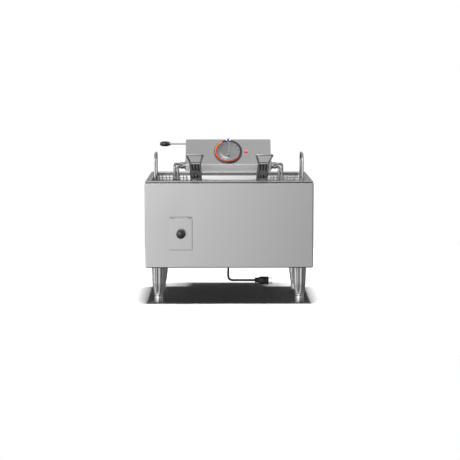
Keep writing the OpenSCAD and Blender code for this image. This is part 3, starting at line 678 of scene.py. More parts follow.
def smooth_route(points, per_span=5):
    """A curve through the points: each span is a cubic with the chords beside it as its slopes."""
    p = np.array(points, float)
    ends = np.concatenate([2 * p[:1] - p[1:2], p, 2 * p[-1:] - p[-2:-1]])
    gap = np.linalg.norm(np.diff(ends, axis=0), axis=1)
    t = np.linspace(0, 1, per_span, endpoint=False)[:, None]
    out = []
    for i in range(len(p) - 1):
        left, here, there, right = gap[i], gap[i + 1], gap[i + 1], gap[i + 2]
        m0 = (ends[i + 2] - ends[i]) / (left + here) * here
        m1 = (ends[i + 3] - ends[i + 1]) / (there + right) * there
        out.append((2 * t**3 - 3 * t**2 + 1) * p[i] + (t**3 - 2 * t**2 + t) * m0
                   + (3 * t**2 - 2 * t**3) * p[i + 1] + (t**3 - t**2) * m1)
    return np.concatenate(out + [p[-1:]])


class FRYER_OT_cord(bpy.types.Operator):
    """Mains cord, its tapered grip, the plug and its two blades"""
    bl_idname = "fryer.cord"
    bl_label = "Cord"

    def execute(self, context):
        low, high = box_of("cord")
        y, radius = (low[1] + high[1]) / 2, (high[1] - low[1]) / 2
        flat = smooth_route(CORD_ROUTE)
        route = np.stack([flat[:, 0], np.full(len(flat), y), flat[:, 1]], 1)
        cord = build("mains_cord", tube(route, radius, 16), material("cord"), "cabinet",
                     ["cord"])
        plug = self.plug()
        blades = self.blades()
        self.grip(radius)
        return {"FINISHED"}

    def plug(self):
        """Loops of rounded rectangles along X: a slim ribbed neck, a shoulder and a wide body."""
        low, high = box_of("plug_body")
        mid = (low + high) / 2
        x = np.array([0, .0006, .0030, .0034, .0044, .0048, .0072, .0076, .0086, .0090, .0112, .0120,
                      .0130, .0165, .0280, .0315, .0340, .0385, .0402, .0410])
        rib = np.array([.90, 1, 1, .88, .88, 1, 1, .88, .88, 1, 1, 1.03])
        width = np.concatenate([.0150 * rib, [.0174, .0196, .0199, .0190, .0189, .0199, .0192, .0172]])
        height = np.concatenate([.0156 * rib, [.0188, .0214, .0219, .0209, .0208, .0219, .0211, .0186]])
        loops = []
        for xi, w, h in zip(x, width, height):
            ring = rounded_rect(w, h, 0.30 * min(w, h), 5)
            loops.append(np.stack([np.full(len(ring), low[0] + xi), mid[1] + ring[:, 0],
                                   mid[2] + ring[:, 1]], 1))
        return build("plug_shell", loft(np.array(loops)), material("plug"), "cabinet",
                     ["plug_body"])

    def blades(self):
        low, high = box_of("plug_blades")
        shapes = []
        for z in (low[2] + 0.0008, high[2] - 0.0008):
            ring = rounded_rect(high[1] - low[1], 0.0016, 0.0003, 2)
            x = np.array([low[0] - 0.001, high[0] - 0.0016, high[0] - 0.0006, high[0]])
            narrow = np.array([1, 1, 0.82, 0.6])
            loops = np.stack([np.stack([np.full(len(ring), xi), (low[1] + high[1]) / 2 + ring[:, 0] * k,
                                        z + ring[:, 1] * (k if k == 1 else k * 0.9)], 1)
                              for xi, k in zip(x, narrow)])
            shapes.append(loft(loops))
        return build("plug_blade_pair", joined(*shapes), material("blade"), "cabinet",
                     ["plug_blades"])

    def grip(self, radius):
        low, high = box_of("cord_grip")
        h = high[2] - low[2]
        r = (high[0] - low[0]) / 2
        profile = [(radius * 1.02, 0.0), (radius + .0014, 0.0), (radius + .0018, .0006)]
        for i in range(5):
            z = .003 + i * .0032
            w = radius + .0018 + i * .0004
            profile += [(w, z), (w - .0009, z + .0005), (w - .0009, z + .0014), (w + .0002, z + .0019)]
        profile += [(.0069, .0195), (r - .0005, .0200), (r, .0205), (r, .0217), (r - .0003, .0220),
                    (.0069, .0220), (.0069, .0235), (.0085, .0235), (.0085, h), (radius, h)]
        centre = ((low[0] + high[0]) / 2, (low[1] + high[1]) / 2, low[2])
        build("cord_grip_ribbed", revolve(profile, centre, (0, 0, 1)), material("cord"), "cabinet",
              ["cord_grip"])


class FRYER_OT_cabinet(bpy.types.Operator):
    """Front and sides in one bent sheet, with the rear panel and the bottom pan"""
    bl_idname = "fryer.cabinet"
    bl_label = "Cabinet"

    def execute(self, context):
        settings = context.scene.fryer_cabinet
        r, hem = settings.bend_radius, settings.hem
        corner = 0.0018
        rear = WRAP_HIGH[1]
        door_low, door_high = box_of("drain_door")
        hole_x = np.array([door_low[0] + 0.007, door_high[0] - 0.007])
        hole_z = np.array([door_low[2] + 0.005, JOINTS["door_swing"]["pos_m"][2] - 0.008])
        front = WRAP_LOW[1]
        plan = rounded_path([(-HALF_W, rear), (-HALF_W, front), (HALF_W, front), (HALF_W, rear)],
                            [0, corner, corner, 0])
        cuts = np.array([[x, front] for x in hole_x])
        tail = plan[:, 0] >= HALF_W - corner - 1e-5
        head = plan[:, 0] <= -HALF_W + corner + 1e-5
        plan = np.concatenate([plan[head], cuts, plan[tail]])
        flow = unit(np.gradient(plan, axis=0))
        out = np.stack([flow[:, 1], -flow[:, 0]], 1)
        out[np.abs(plan[:, 1] - front) < 1e-6] = (0, -1)
        out[0], out[-1] = (-1, 0), (1, 0)
        low, high = WRAP_LOW[2], WRAP_HIGH[2]
        side = rounded_path([(-hem, low), (0, low), (0, high), (-0.006, high)], [0, r, r, 0], 5)
        mid = len(side) // 2
        side = np.concatenate([side[:mid], [[0, hole_z[0]], [0, hole_z[1]]], side[mid:]])
        points = np.empty((len(plan), len(side), 3))
        points[..., :2] = plan[:, None] + out[:, None] * side[None, :, :1]
        points[..., 2] = side[None, :, 1]
        keep = np.ones((len(plan) - 1, len(side) - 1), bool)
        keep[int(head.sum()), mid] = False
        build("cabinet_wrap", grid(points, keep=keep), material("cabinet"), "cabinet",
              ["body_wrap"], solid=False, thickness=-0.0015, sheet=True)
        finish_nodes("cabinet", "rear_panel")
        # the bottom pan is made dark as painted shade, so the floor shadow beneath reads darker
        finish_nodes("pan", "bottom_pan")
        finish_nodes("zinc", "leg_bolts")
        return {"FINISHED"}


class FRYER_OT_tank(bpy.types.Operator):
    """Tank: rolled rim, deep drawn well with a sloping front shelf"""
    bl_idname = "fryer.tank"
    bl_label = "Tank"

    def execute(self, context):
        lip = 0.0145
        inner_x, inner_y = HALF_W - lip, HALF_D - lip
        floor = TANK_LOW[2] + 0.0015
        shelf, fall, run = RIM_Z - 0.045, 0.012, 0.043
        rows = [(HALF_W - 0.0008, HALF_D - 0.0008, 0, 0.004, RIM_Z - 0.006)]
        a = np.linspace(0, math.pi / 2, 6)
        for t in a:
            rows.append((HALF_W - 0.0026 * (1 - math.cos(t)), HALF_D - 0.0026 * (1 - math.cos(t)), 0,
                         0.004, RIM_Z - 0.0026 * (1 - math.sin(t))))
        for t in a:
            rows.append((inner_x + 0.003 * (1 - math.sin(t)), inner_y + 0.003 * (1 - math.sin(t)), 0,
                         0.009, RIM_Z - 0.003 * (1 - math.cos(t))))
        rows += [(inner_x, inner_y, 0, 0.009, RIM_Z - h) for h in (0.0035, 0.0105)]
        inner_x, inner_y = inner_x - 0.0032, inner_y - 0.0032
        rows += [(inner_x, inner_y, 0, 0.009, RIM_Z - h) for h in (0.0185, 0.029)]
        rows += [(inner_x, inner_y, 0, 0.009, shelf + 0.006)]
        for t in np.linspace(0, 1, 5):
            rows.append((inner_x, inner_y, 0.006 * t * t, 0.009, shelf + 0.006 * (1 - t) ** 1.6))
        for t in np.linspace(0, 1, 5):
            rows.append((inner_x, inner_y, run - 0.006 * (1 - t) ** 2, 0.009,
                         shelf - fall - 0.006 * t ** 1.6))
        rows += [(inner_x, inner_y, run, 0.009, floor + 0.008)]
        for t in a:
            inset = 0.008 * (1 - math.cos(t))
            rows.append((inner_x - inset, inner_y - inset, run, 0.009, floor + 0.008 * (1 - math.sin(t))))
        loops = []
        for x, y, step, radius, z in rows:
            ring = rounded_rect(2 * x, 2 * y - step, radius, 6)
            loops.append(np.stack([ring[:, 0], MID_Y + step / 2 + ring[:, 1], np.full(len(ring), z)], 1))
        loops = np.array(loops)[:, ::-1]
        count = loops.shape[1]
        verts, faces = loft(loops, closed_ends=False)
        faces.append((np.arange(count) + (len(loops) - 1) * count)[None])
        build("drawn_tank", (verts, faces), material("tank"), "cabinet", ["fry_tank"],
              solid=False, thickness=0.0012, sheet=True)
        return {"FINISHED"}


class FRYER_OT_legs(bpy.types.Operator):
    """Four fluted cast legs and their chrome levelling feet"""
    bl_idname = "fryer.legs"
    bl_label = "Legs"

    def execute(self, context):
        flutes = context.scene.fryer_cabinet.flutes
        for place in ("front_left", "front_right", "rear_left", "rear_right"):
            self.leg(place, flutes)
            self.foot(place)
        return {"FINISHED"}

    def leg(self, place, flutes):
        """Radius = taper - groove depth * |sin| of the flute count times the angle."""
        low, high = box_of("leg_" + place)
        centre = (low + high) / 2
        bottom, top = low[2], high[2]
        z = np.array([0, 0.0, .0008, .003, .012, .027, .040, .060, .0700, .0735, .0748, .0756, .0766, .0766])
        r = np.array([.0052, .0120, .0128, .0131, .0150, .0172, .0177, .0184, .0189, .0191, .0200, .0216,
                      .0218, .0200])
        groove = np.array([0, 0, 0, .4, 1, 1, 1, 1, 1, .8, .2, 0, 0, 0]) * 0.0024
        fine = np.linspace(0, 1, 4, endpoint=False)
        steps = np.concatenate([i + fine for i in range(len(z) - 1)] + [[len(z) - 1]])
        index = np.arange(len(z))
        z, r, groove = (np.interp(steps, index, row) for row in (z, r, groove))
        a = np.linspace(0, 2 * math.pi, 16 * flutes, endpoint=False)
        wave = 1 - np.abs(np.cos(a * flutes / 2)) ** 1.6
        radius = r[:, None] - groove[:, None] * wave
        points = np.stack([centre[0] + radius * np.cos(a), centre[1] + radius * np.sin(a),
                           bottom + z[:, None] * (top - bottom) / .0766 + 0 * a], -1)
        build("fluted_leg_" + place, loft(points), material("leg"), "cabinet", ["leg_" + place])

    def foot(self, place):
        low, high = box_of("foot_" + place)
        centre = (low + high) / 2
        edge = (high[0] - low[0]) / 2
        profile = [(0, 0), (.0096, 0), (.0108, .0003), (.0116, .0010), (.0120, .0022), (.0120, .0150),
                   (.0119, .0172), (.0114, .0184), (.0105, .0189), (.0104, .0196), (.0112, .0200),
                   (edge - .0004, .0203), (edge, .0208), (edge, .0236), (edge - .0004, .0241),
                   (edge - .001, .0244), (.0050, .0244), (.0050, high[2] - .0008), (.0042, high[2]),
                   (0, high[2])]
        body = {"front_left": "foot_fl", "front_right": "foot_fr", "rear_left": "foot_rl",
                "rear_right": "foot_rr"}[place]
        build("levelling_foot_" + place, revolve(profile, (centre[0], centre[1], 0), (0, 0, 1), 56),
              material("foot"), body, ["foot_" + place])


class FRYER_OT_head(bpy.types.Operator):
    """Control head: bent housing, back cover, screws and the parts inside"""
    bl_idname = "fryer.head"
    bl_label = "Control head"

    def execute(self, context):
        centre, axes = dial_frame()
        slope = axes[1:, 1]
        front = HEAD_LOW[1]
        top, bottom = HEAD_HIGH[2], HEAD_LOW[2]
        back = HEAD_HIGH[1] - 0.0002
        strip = centre[2] + (front - centre[1]) * slope[1] / slope[0]
        crest = centre[1] + (top - centre[2]) * slope[0] / slope[1]
        r = 0.003
        outline = rounded_path([(back, bottom), (front, bottom), (front, strip), (crest, top), (back, top)],
                               [0, r, r, r, 0], 6)
        out = np.stack([-np.gradient(outline[:, 1]), np.gradient(outline[:, 0])], 1)
        inward = unit(out)
        if (inward[len(inward) // 2] @ (np.array([back, strip]) - outline[len(outline) // 2])) < 0:
            inward = -inward
        a = np.linspace(0, math.pi / 2, 5)
        edge = 0.0015
        half = HEAD_HIGH[0]
        bend_x = edge * (1 - np.cos(a))
        x = np.concatenate([[-half], bend_x - half, half - bend_x[::-1], [half]])
        inset = np.concatenate([[0.03], edge * (1 - np.sin(a)), edge * (1 - np.sin(a[::-1])), [0.03]])
        flat = outline[None] + inward[None] * inset[:, None, None]
        skin = np.concatenate([np.broadcast_to(x[:, None, None], flat.shape[:2] + (1,)), flat], -1)[1:-1]
        sides = []
        for sign, ring in ((-1, skin[0]), (1, skin[-1])):
            order = np.arange(len(ring))
            sides.append((ring, [order[None] if sign > 0 else order[None, ::-1]]))
        verts, faces = joined(grid(skin), *sides)
        # the head's steel is painted lighter than the cabinet's: painted light
        build("head_shell", self.welded((verts, faces)), material("head"), "cabinet",
              ["head_housing"], sheet=True)
        finish_nodes("head", "head_back_cover")
        finish_nodes("zinc", "head_screws")
        finish_nodes("phenolic", "thermostat_body", "terminal_block")
        finish_nodes("ceramic", "high_limit", "pilot_body")
        return {"FINISHED"}

    def welded(self, shape):
        """The same shape with points that coincide made one."""
        verts, faces = shape
        first, back = np.unique(np.round(verts, 7), axis=0, return_index=True, return_inverse=True)[1:]
        back = back.reshape(-1)
        return verts[first], [back[block] for block in faces]


def digits(text, centre, axes, place, height, lift):
    """A few raised figures as a mesh, laid on the dial face."""
    curve = bpy.data.curves.new("figures", "FONT")
    curve.body = text
    curve.size = height
    curve.align_x = "CENTER"
    curve.align_y = "CENTER"
    curve.extrude = 0.00012
    curve.resolution_u = 3
    text_object = bpy.data.objects.new("figures", curve)
    bpy.context.scene.collection.objects.link(text_object)
    bpy.context.view_layer.update()
    mesh = bpy.data.meshes.new_from_object(text_object.evaluated_get(bpy.context.evaluated_depsgraph_get()))
    bpy.data.objects.remove(text_object)
    verts = np.empty(len(mesh.vertices) * 3)
    mesh.vertices.foreach_get("co", verts)
    verts = verts.reshape(-1, 3)
    angle = math.atan2(place[0], place[1])
    turned = np.stack([verts[:, 0] * math.cos(angle) + verts[:, 1] * math.sin(angle) + place[0],
                       -verts[:, 0] * math.sin(angle) + verts[:, 1] * math.cos(angle) + place[1],
                       verts[:, 2] + lift], 1)
    faces = [np.array([list(p.vertices)]) for p in mesh.polygons]
    return placed((turned, faces), axes, centre)


class FRYER_OT_dial(bpy.types.Operator):
    """Thermostat dial with its ring, heat arc, figures, index and grip bar; pilot lamp"""
    bl_idname = "fryer.dial"
    bl_label = "Dial"

    def execute(self, context):
        centre, axes = dial_frame()
        self.ring(centre, axes)
        self.face(centre, axes)
        self.index(centre, axes)
        self.lamp(centre, axes)
        finish_nodes("brass", "dial_shaft")
        return {"FINISHED"}

    def ring(self, centre, axes):
        profile = [(.0353, .0002), (.0413, .0002), (.0415, .0006), (.0415, .0040), (.0411, .0047),
                   (.0403, .0050), (.0395, .0049), (.0391, .0044), (.0366, .0044), (.0362, .0048),
                   (.0356, .0048), (.0353, .0044), (.0353, .0002)]
        shape = placed(self.turn(profile, 96), axes, centre)
        build("dial_bezel", shape, material("ring"), "cabinet", ["dial_ring"])
        band = [(.0365, .0045), (.0366, .0052), (.0391, .0052), (.0392, .0045)]
        shape = placed(self.turn(band, 90, math.radians(118), math.radians(216)), axes, centre)
        build("heat_band", shape, material("arc"), "cabinet", ["dial_heat_arc"], solid=False)

    def turn(self, profile, segments, start=0.0, sweep=2 * math.pi):
        """A (radius, height) profile turned about the local third axis."""
        profile = np.array(profile, float)
        whole = sweep > 6.28
        a = start + np.linspace(0, sweep, segments, endpoint=not whole)
        r, h = profile[:, 0][:, None], profile[:, 1][:, None]
        points = np.stack([r * np.cos(a), r * np.sin(a), h + 0 * a], -1)
        return grid(points[:, ::-1], wrap_v=whole)

    def face(self, centre, axes):
        profile = [(0, .0012), (.0340, .0012), (.0349, .0018), (.0350, .0036), (.0347, .0043),
                   (.0341, .0046), (.0262, .0046), (.0256, .0050), (.0250, .0058), (.0235, .0062),
                   (.0, .0062)]
        disc = placed(self.turn(profile, 96), axes, centre)
        obj = build("dial_plate", disc, material("dial_face"), "dial", ["thermostat_dial"])
        obj["part"] = "dial"
        outline = rounded_loop([(-.0042, -.0225), (.0042, -.0225), (.0052, .0), (.0036, .0290),
                                (-.0036, .0290), (-.0052, .0)], [.0030, .0030, .004, .0028, .0028, .004], 5)
        bar = placed(loft(edge_round(outline, .0102, .0016) + np.array([0, 0, .0060])), axes, centre)
        build("dial_grip_bar", bar, material("dial_bar"), "dial")
        line = rounded_rect(.0011, .019, .0004, 2) + np.array([0, .0175])
        mark = placed(loft(edge_round(line, .0004, .00012, 2) + np.array([0, 0, .0161])), axes, centre)
        shapes = [mark]
        for text, angle in (("200", 232), ("225", 262), ("250", 292), ("275", 322), ("300", 352),
                            ("325", 22), ("350", 52), ("375", 82), ("OFF", 180)):
            t = math.radians(angle)
            place = (.0300 * math.sin(t), .0300 * math.cos(t))
            shapes.append(digits(text, centre, axes, place, .0056, .0047))
        for angle in np.radians(np.arange(217, 217 + 241, 15)):
            line = rounded_rect(.0006, .0022, .0002, 1)
            c, s = math.cos(angle), math.sin(angle)
            spin = np.array([[c, -s], [s, c]])
            spot = (line + np.array([0, .0256])) @ spin
            tick = loft(edge_round(spot, .0003, .0001, 1) + np.array([0, 0, .0061]))
            shapes.append(placed(tick, axes, centre))
        build("dial_figures", joined(*shapes), material("mark"), "dial")

    def index(self, centre, axes):
        """Blue pointer on a pale tab above the ring."""
        tab = rounded_rect(.0125, .0062, .0012, 3) + np.array([0, .0410])
        pale = placed(loft(edge_round(tab, .0012, .0004, 2) + np.array([0, 0, .0046])), axes, centre)
        build("index_tab", pale, material("pale"), "cabinet")
        mark = rounded_loop([(-.0050, .0452), (.0050, .0452), (.0034, .0376), (-.0034, .0376)],
                            [.0008] * 4, 3)
        blue = placed(loft(edge_round(mark, .0008, .0002, 2) + np.array([0, 0, .0057])), axes, centre)
        build("index_mark", blue, material("blue"), "cabinet")

    def lamp(self, centre, axes):
        low, high = box_of("pilot_lens")
        place = centre + axes[:, 0] * (low[0] + high[0]) / 2
        dome = [(.0052 * math.sin(t), .0006 + .0052 * math.cos(t)) for t in np.linspace(.02, math.pi / 2, 9)]
        dome += [(.0052, .0002)]
        build("lamp_dome", placed(self.turn(dome[::-1], 40), axes, place), material("lens"), "cabinet",
              ["pilot_lens"])
        collar = [(.0052, .0002), (.0052, .0010), (.0054, .0013), (.0058, .0012), (.0060, .0008),
                  (.0060, .0002), (.0052, .0002)]
        build("lamp_collar", placed(self.turn(collar, 40), axes, place), material("foot"), "cabinet")


class FRYER_OT_latch(bpy.types.Operator):
    """Latch rod, its oval knob, bush and spring"""
    bl_idname = "fryer.latch"
    bl_label = "Latch"

    def execute(self, context):
        low, high = box_of("latch_knob")
        mid, half = (low + high) / 2, (high - low) / 2
        t = np.linspace(0, math.pi, 25)
        tip = 0.0028
        profile = np.stack([tip + (half[2] - tip) * np.sin(t), -half[0] * np.cos(t)], 1)
        profile = np.concatenate([[[0.0002, -half[0]]], profile, [[0.0002, half[0]]]])
        build("oval_knob", revolve(profile, mid, (1, 0, 0), 40), material("knob"), "latch",
              ["latch_knob"])
        collar = [(.0022, 0), (.0042, 0), (.0046, .0005), (.0046, .0030), (.0042, .0036), (.0022, .0036)]
        build("knob_ferrule", revolve(collar, (high[0] - 0.0008, mid[1], mid[2]), (1, 0, 0), 28),
              material("foot"), "latch")
        finish_nodes("wire", "latch_rod", "latch_spring")
        finish_nodes("brass", "latch_bush")
        return {"FINISHED"}


class FRYER_OT_elements(bpy.types.Operator):
    """Swing-up heating elements, their pivot shaft, bushes, clamps and bulb"""
    bl_idname = "fryer.elements"
    bl_label = "Elements"

    def execute(self, context):
        for side, sign in (("left", -1), ("right", 1)):
            self.element(side, sign)
        finish_nodes("zinc", "pivot_shaft", "element_clamps")
        finish_nodes("bush", "pivot_bushes")
        finish_nodes("copper", "thermostat_bulb")
        return {"FINISHED"}

    def element(self, side, sign):
        low, high = box_of("element_right")
        r = 0.004
        pitch, bend_r = 0.0086, 0.0094
        pivot = JOINTS["element_swing"]["pos_m"]
        top, under = pivot[2] + pitch / 2, pivot[2] - pitch / 2
        outer = high[0] - r
        inner = outer - pitch
        pass_gap = (outer - 0.030) / 3
        x = [outer - i * pass_gap for i in range(4)]
        deep, front = low[2] + r, low[1] + r
        hub = box_of("pivot_shaft")[1][0]
        cold = MID_Y + HALF_D - 0.0145 - 0.013
        back = cold - 0.024
        u = pass_gap / 2
        corners = [(hub, pivot[1], top), (outer, pivot[1], top), (outer, cold, top), (outer, cold, deep),
                   (x[0], front, deep), (x[1], front, deep), (x[1], back, deep), (x[2], back, deep),
                   (x[2], front, deep), (x[3], front, deep), (x[3], cold, deep), (inner, cold, deep),
                   (inner, cold, under), (inner, pivot[1], under), (hub, pivot[1], under)]
        radii = [0] + [bend_r] * 3 + [u] * 6 + [bend_r] * 4 + [0]
        path = rounded_path(np.array(corners) * (sign, 1, 1), radii, 10)
        gaps = np.linalg.norm(np.diff(path, axis=0), axis=1) > 1e-7
        path = path[np.concatenate([[True], gaps])]
        shapes = [tube(path, r, 18)]
        for z in (top, under):
            ferrule = [(.0041, 0), (.0052, .0003), (.0054, .0010), (.0054, .0062), (.0050, .0070),
                       (.0041, .0070)]
            shapes.append(revolve(ferrule, (sign * (hub - .0002), pivot[1], z), (sign, 0, 0), 24))
        build("heating_element_" + side, joined(*shapes), material("tube"), "elements",
              ["element_" + side])


class FRYER_OT_rack(bpy.types.Operator):
    """Crumb rack with its lift handles and rear guard wires"""
    bl_idname = "fryer.rack"
    bl_label = "Rack"

    def execute(self, context):
        for side in ("left", "right"):
            low, high = box_of("lift_handle_" + side)
            x = (low[0] + high[0]) / 2
            r = (high[0] - low[0]) / 2
            y0, y1 = low[1] + r, high[1] - r
            path = rounded_path([(x, y0, low[2]), (x, y0, high[2] - r), (x, y1, high[2] - r),
                                 (x, y1, low[2])], [0, 0.020, 0.020, 0], 12)
            bead = [(.0031, 0), (.0050, 0), (.0052, .0004), (.0046, .0012), (.0034, .0026), (.0031, .0034)]
            feet = [revolve(bead, (x, y, low[2] + .0002), (0, 0, 1), 20) for y in (y0, y1)]
            build("tall_handle_" + side, joined(tube(path, r, 18), *feet), material("wire"), "rack",
                  ["lift_handle_" + side])
        self.guards()
        # the crumb rack shares the tank's finish, with its painted shade band
        finish_nodes("tank", "crumb_rack")
        return {"FINISHED"}

    def guards(self):
        low, high = box_of("rack_guards")
        r = 0.0012
        y = low[1] + r
        basket_top = box_of("basket_left")[1][2]
        shapes = []
        for sign in (-1, 1):
            for x in 0.122 + 0.010 * np.arange(9):
                path = np.array([(sign * x, y, z) for z in (low[2], high[2] - .0004, high[2])])
                shapes.append(tube(path, [r, r, r * 0.6], 10))
            for z in (basket_top - 0.030, high[2] - 0.009):
                ends = np.array([(sign * 0.119, y + .0016, z), (sign * 0.205, y + .0016, z)])
                shapes.append(tube(ends, r, 10))
        build("guard_wires", joined(*shapes), material("wire"), "rack", ["rack_guards"])


def woven_panel(across, along, normal, origin, width, height, pitch, radius):
    """Two sets of wires on a flat panel, each bowing over and under the other as a cosine."""
    shapes = []
    for first, second, span, reach, phase in ((across, along, width, height, 0.0),
                                              (along, across, height, width, math.pi)):
        count = max(2, int(round(span / pitch)))
        step = span / count
        crossings = max(2, int(round(reach / pitch)))
        t = np.linspace(0, reach, 2 * crossings + 1)
        for i in range(count + 1):
            wave = 0.55 * radius * np.cos(math.pi * t / (reach / crossings) + phase + math.pi * i)
            path = origin + first * (i * step) + second * t[:, None] + normal * wave[:, None]
            shapes.append(tube(path, radius, 5))
    return joined(*shapes)


class FRYER_OT_baskets(bpy.types.Operator):
    """Two woven wire baskets with rims, corner wires and handles"""
    bl_idname = "fryer.baskets"
    bl_label = "Baskets"

    def execute(self, context):
        wires = context.scene.fryer_wires
        for side in ("left", "right"):
            self.mesh(side, wires)
            self.rim(side)
            self.handle(side, wires.handle_wire)
        return {"FINISHED"}

    def mesh(self, side, wires):
        low, high = box_of("basket_" + side)
        gap = 0.0022
        x0, x1, y0, y1 = low[0] + gap, high[0] - gap, low[1] + gap, high[1] - gap
        z0, z1 = low[2] + gap, high[2]
        ex, ey, ez = np.eye(3)
        args = (wires.pitch, wires.mesh_wire)
        shapes = [
            woven_panel(ex, ez, -ey, np.array([x0, y0, z0]), x1 - x0, z1 - z0, *args),
            woven_panel(ex, ez, ey, np.array([x0, y1, z0]), x1 - x0, z1 - z0, *args),
            woven_panel(ey, ez, -ex, np.array([x0, y0, z0]), y1 - y0, z1 - z0, *args),
            woven_panel(ey, ez, ex, np.array([x1, y0, z0]), y1 - y0, z1 - z0, *args),
            woven_panel(ex, ey, -ez, np.array([x0, y0, z0]), x1 - x0, y1 - y0, *args)]
        build("woven_basket_" + side, joined(*shapes), material("mesh"), side + "_basket",
              ["basket_" + side], solid=False)

    def rim(self, side):
        low, high = box_of("basket_rim_" + side)
        base = box_of("basket_" + side)[0][2]
        r = 0.0023
        x0, x1, y0, y1 = low[0] + r, high[0] - r, low[1] + r, high[1] - r
        shapes = []
        for z, wire in ((high[2] - r, r), (base + 0.002, 0.0018)):
            loop = rounded_loop([(x1, y0, z), (x1, y1, z), (x0, y1, z), (x0, y0, z)], [0.012] * 4, 8)
            shapes.append(tube(resample(loop, 0.05), wire, 12, closed=True))
        for x in (x0 + 0.0035, x1 - 0.0035):
            for y in (y0 + 0.0035, y1 - 0.0035):
                post = np.array([(x, y, base + 0.002), (x, y, high[2] - r)])
                shapes.append(tube(post, 0.0017, 10))
        build("basket_frame_" + side, joined(*shapes), material("wire"), side + "_basket",
              ["basket_rim_" + side])

    def handle(self, side, r):
        low, high = box_of("basket_handle_" + side)
        cx = (low[0] + high[0]) / 2
        stem = 0.016 - r
        end = (high[0] - low[0]) / 2 - r
        foot = np.array([high[1] - r, RIM_Z])
        tip = np.array([low[1] + r, high[2] - r])

        def at(t):
            return foot + (tip - foot) * t

        up = unit(np.array([-(tip - foot)[1], (tip - foot)[0]]))
        up = up if up[1] > 0 else -up
        kink = at(0.70)
        half = [(stem, foot[0], low[2] + 0.001), (stem, foot[0], foot[1]), (stem, kink[0], kink[1]),
                (end, tip[0], tip[1])]
        corners = [(cx - x, y, z) for x, y, z in half] + [(cx + x, y, z) for x, y, z in half[::-1]]
        loop = rounded_path(corners, [0, 0.008, 0.012, 0.005, 0.005, 0.012, 0.008, 0], 8)
        shapes = [tube(resample(loop, 0.02), r, 16)]
        bars = [(x, 0.005, 0.19, 0.0022) for x in (-0.0081, 0.0, 0.0081)]
        bars += [(x, 0.355, 0.657, 0.0018) for x in (-0.0118, -0.0039, 0.0039, 0.0118)]
        for x, t0, t1, wire in bars:
            ends = np.array([(cx + x, *(at(t) - up * 0.0006)) for t in (t0, t1)])
            shapes.append(tube(resample(ends, 0.02), wire, 12))
        lattice = [-0.0148, -0.0118, -0.0081, -0.0039, 0.0, 0.0039, 0.0081, 0.0118, 0.0148]
        zigzag = np.array([(cx + x, *(at(0.355 if i % 2 else 0.19) - up * 0.0006))
                           for i, x in enumerate(lattice)])
        shapes.append(tube(zigzag, 0.0019, 12))
        for t, wire in ((0.005, 0.0022), (0.657, 0.0016)):
            bar = np.array([(cx - stem, *(at(t) - up * 0.0004)), (cx + stem, *(at(t) - up * 0.0004))])
            shapes.append(tube(bar, wire, 12))
        build("wire_handle_" + side, joined(*shapes), material("grip"), side + "_basket",
              ["basket_handle_" + side])
        self.insert(side, cx, at, up)

    def insert(self, side, cx, at, up):
        """Black moulded strip behind the stem's wires, with a plated clamp band across it."""
        a, b = at(0.012), at(0.650)
        along = unit(b - a)
        length = float(np.linalg.norm(b - a))
        axes = np.stack([np.array([1.0, 0, 0]), np.array([0, *along]), np.array([0, *up])], 1)
        start = np.array([cx, *(a + up * 0.0012)])
        outline = rounded_rect(0.0262, length, 0.003, 4) + np.array([0, length / 2])
        strip = placed(loft(edge_round(outline, 0.003, 0.0008, 3)), axes, start)
        build("handle_strip_" + side, strip, material("insert"), side + "_basket",
              ["handle_core_" + side])
        band_mid = (at(0.272) - a) @ along
        band = rounded_rect(0.0280, 0.034, 0.002, 4) + np.array([0, band_mid])
        plate = placed(loft(edge_round(band, 0.0014, 0.0005, 3)), axes, start - np.array([0, *up]) * 0.0016)
        build("handle_clamp_" + side, plate, material("grip"), side + "_basket")


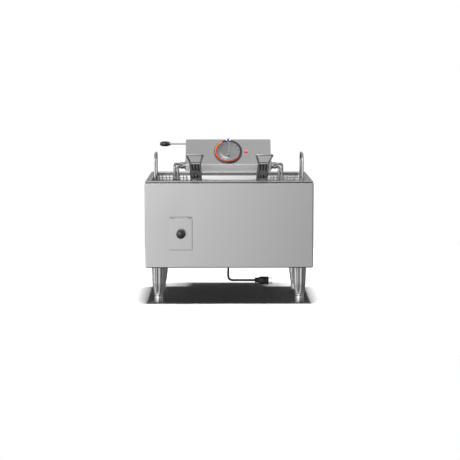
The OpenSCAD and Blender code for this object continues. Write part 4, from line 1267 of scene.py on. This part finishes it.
class FRYER_OT_drain(bpy.types.Operator):
    """Drain door, its knob and hinge, and the valve behind it"""
    bl_idname = "fryer.drain"
    bl_label = "Drain"

    def execute(self, context):
        self.door()
        self.knob()
        finish_nodes("zinc", "door_hinge_leaf", "door_hinge_pin")
        finish_nodes("brass", "drain_pipe", "valve_body")
        finish_nodes("ball", "valve_ball")
        finish_nodes("lever", "valve_lever")
        return {"FINISHED"}

    def door(self):
        """A shallow pan: a flat face whose left, right and lower edges bend back."""
        low, high = box_of("drain_door")
        hinge = JOINTS["door_swing"]["pos_m"]
        face, back = low[1], low[1] + 0.0030
        top = hinge[2] - 0.0024
        r, wall = 0.0014, 0.0012
        cx = (low[0] + high[0]) / 2
        w, h = (high[0] - low[0]), top - low[2]
        a = np.linspace(0, math.pi / 2, 6)
        inset = np.concatenate([r * (1 - np.sin(a)), [0, wall, wall]])
        depth = np.concatenate([face + r * (1 - np.cos(a)), [back, back, face + wall]])
        loops = []
        for d, y in zip(inset, depth):
            ring = rounded_rect(w - 2 * d, h - 2 * d, max(0.0006, 0.003 - d), 5)
            loops.append(np.stack([cx + ring[:, 0], np.full(len(ring), y), low[2] + h / 2 + ring[:, 1]], 1))
        pan = loft(np.array(loops))
        roll = tube(np.array([(cx + x, hinge[1], hinge[2]) for x in (-0.018, 0.018)]), 0.00172, 20)
        neck_loop = rounded_rect(0.036, 0.0012, 0.0003, 2)
        neck = [np.stack([cx + neck_loop[:, 0], y + neck_loop[:, 1], np.full(len(neck_loop), z)], 1)
                for y, z in ((face + 0.0009, top - 0.003), (face + 0.0009, hinge[2]))]
        build("door_pan", joined(pan, roll, loft(np.array(neck))), material("door"), "door",
              ["drain_door"], sheet=True)

    def knob(self):
        low, high = box_of("door_knob")
        centre = np.array([(low[0] + high[0]) / 2, box_of("drain_door")[0][1], (low[2] + high[2]) / 2])
        r = (high[0] - low[0]) / 2
        profile = [(.0001, -.0028), (.0024, -.0028), (.0024, 0), (.0068, 0), (.0070, .0008), (.0058, .0020),
                   (.0052, .0045), (.0056, .0068), (.0072, .0084), (r - .0022, .0092), (r - .0006, .0102),
                   (r, .0118), (r - .0002, .0134), (r - .0012, .0150), (r - .0034, .0166),
                   (r - .0062, .0176), (.0030, .0183), (.0001, .0185)]
        build("door_knob_round", revolve(profile, centre, (0, -1, 0), 56), material("knob"), "door",
              ["door_knob"])


OPERATORS = (FRYER_OT_stage, FRYER_OT_cord, FRYER_OT_cabinet, FRYER_OT_tank, FRYER_OT_legs, FRYER_OT_head,
             FRYER_OT_dial, FRYER_OT_latch, FRYER_OT_elements, FRYER_OT_rack, FRYER_OT_baskets,
             FRYER_OT_drain)


class FRYER_PT_panel(bpy.types.Panel):
    """Lists the fryer's pieces in the sidebar"""
    bl_idname = "FRYER_PT_panel"
    bl_label = "Fryer"
    bl_space_type = "VIEW_3D"
    bl_region_type = "UI"
    bl_category = "Fryer"

    def draw(self, context):
        for group in ("fryer_cabinet", "fryer_wires", "fryer_stage"):
            settings = getattr(context.scene, group)
            for name in settings.__annotations__:
                self.layout.prop(settings, name)
        for operator in OPERATORS:
            self.layout.operator(operator.bl_idname)


CLASSES = (CabinetSettings, WireSettings, StageSettings) + OPERATORS + (FRYER_PT_panel,)


def register():
    for cls in CLASSES:
        bpy.utils.register_class(cls)
    bpy.types.Scene.fryer_cabinet = PointerProperty(type=CabinetSettings)
    bpy.types.Scene.fryer_wires = PointerProperty(type=WireSettings)
    bpy.types.Scene.fryer_stage = PointerProperty(type=StageSettings)


def unregister():
    del bpy.types.Scene.fryer_stage
    del bpy.types.Scene.fryer_wires
    del bpy.types.Scene.fryer_cabinet
    for cls in reversed(CLASSES):
        bpy.utils.unregister_class(cls)


def main():
    register()
    for operator in OPERATORS:
        group, name = operator.bl_idname.split(".")
        getattr(getattr(bpy.ops, group), name)()
    bpy.context.view_layer.update()


if __name__ == "__main__":
    main()
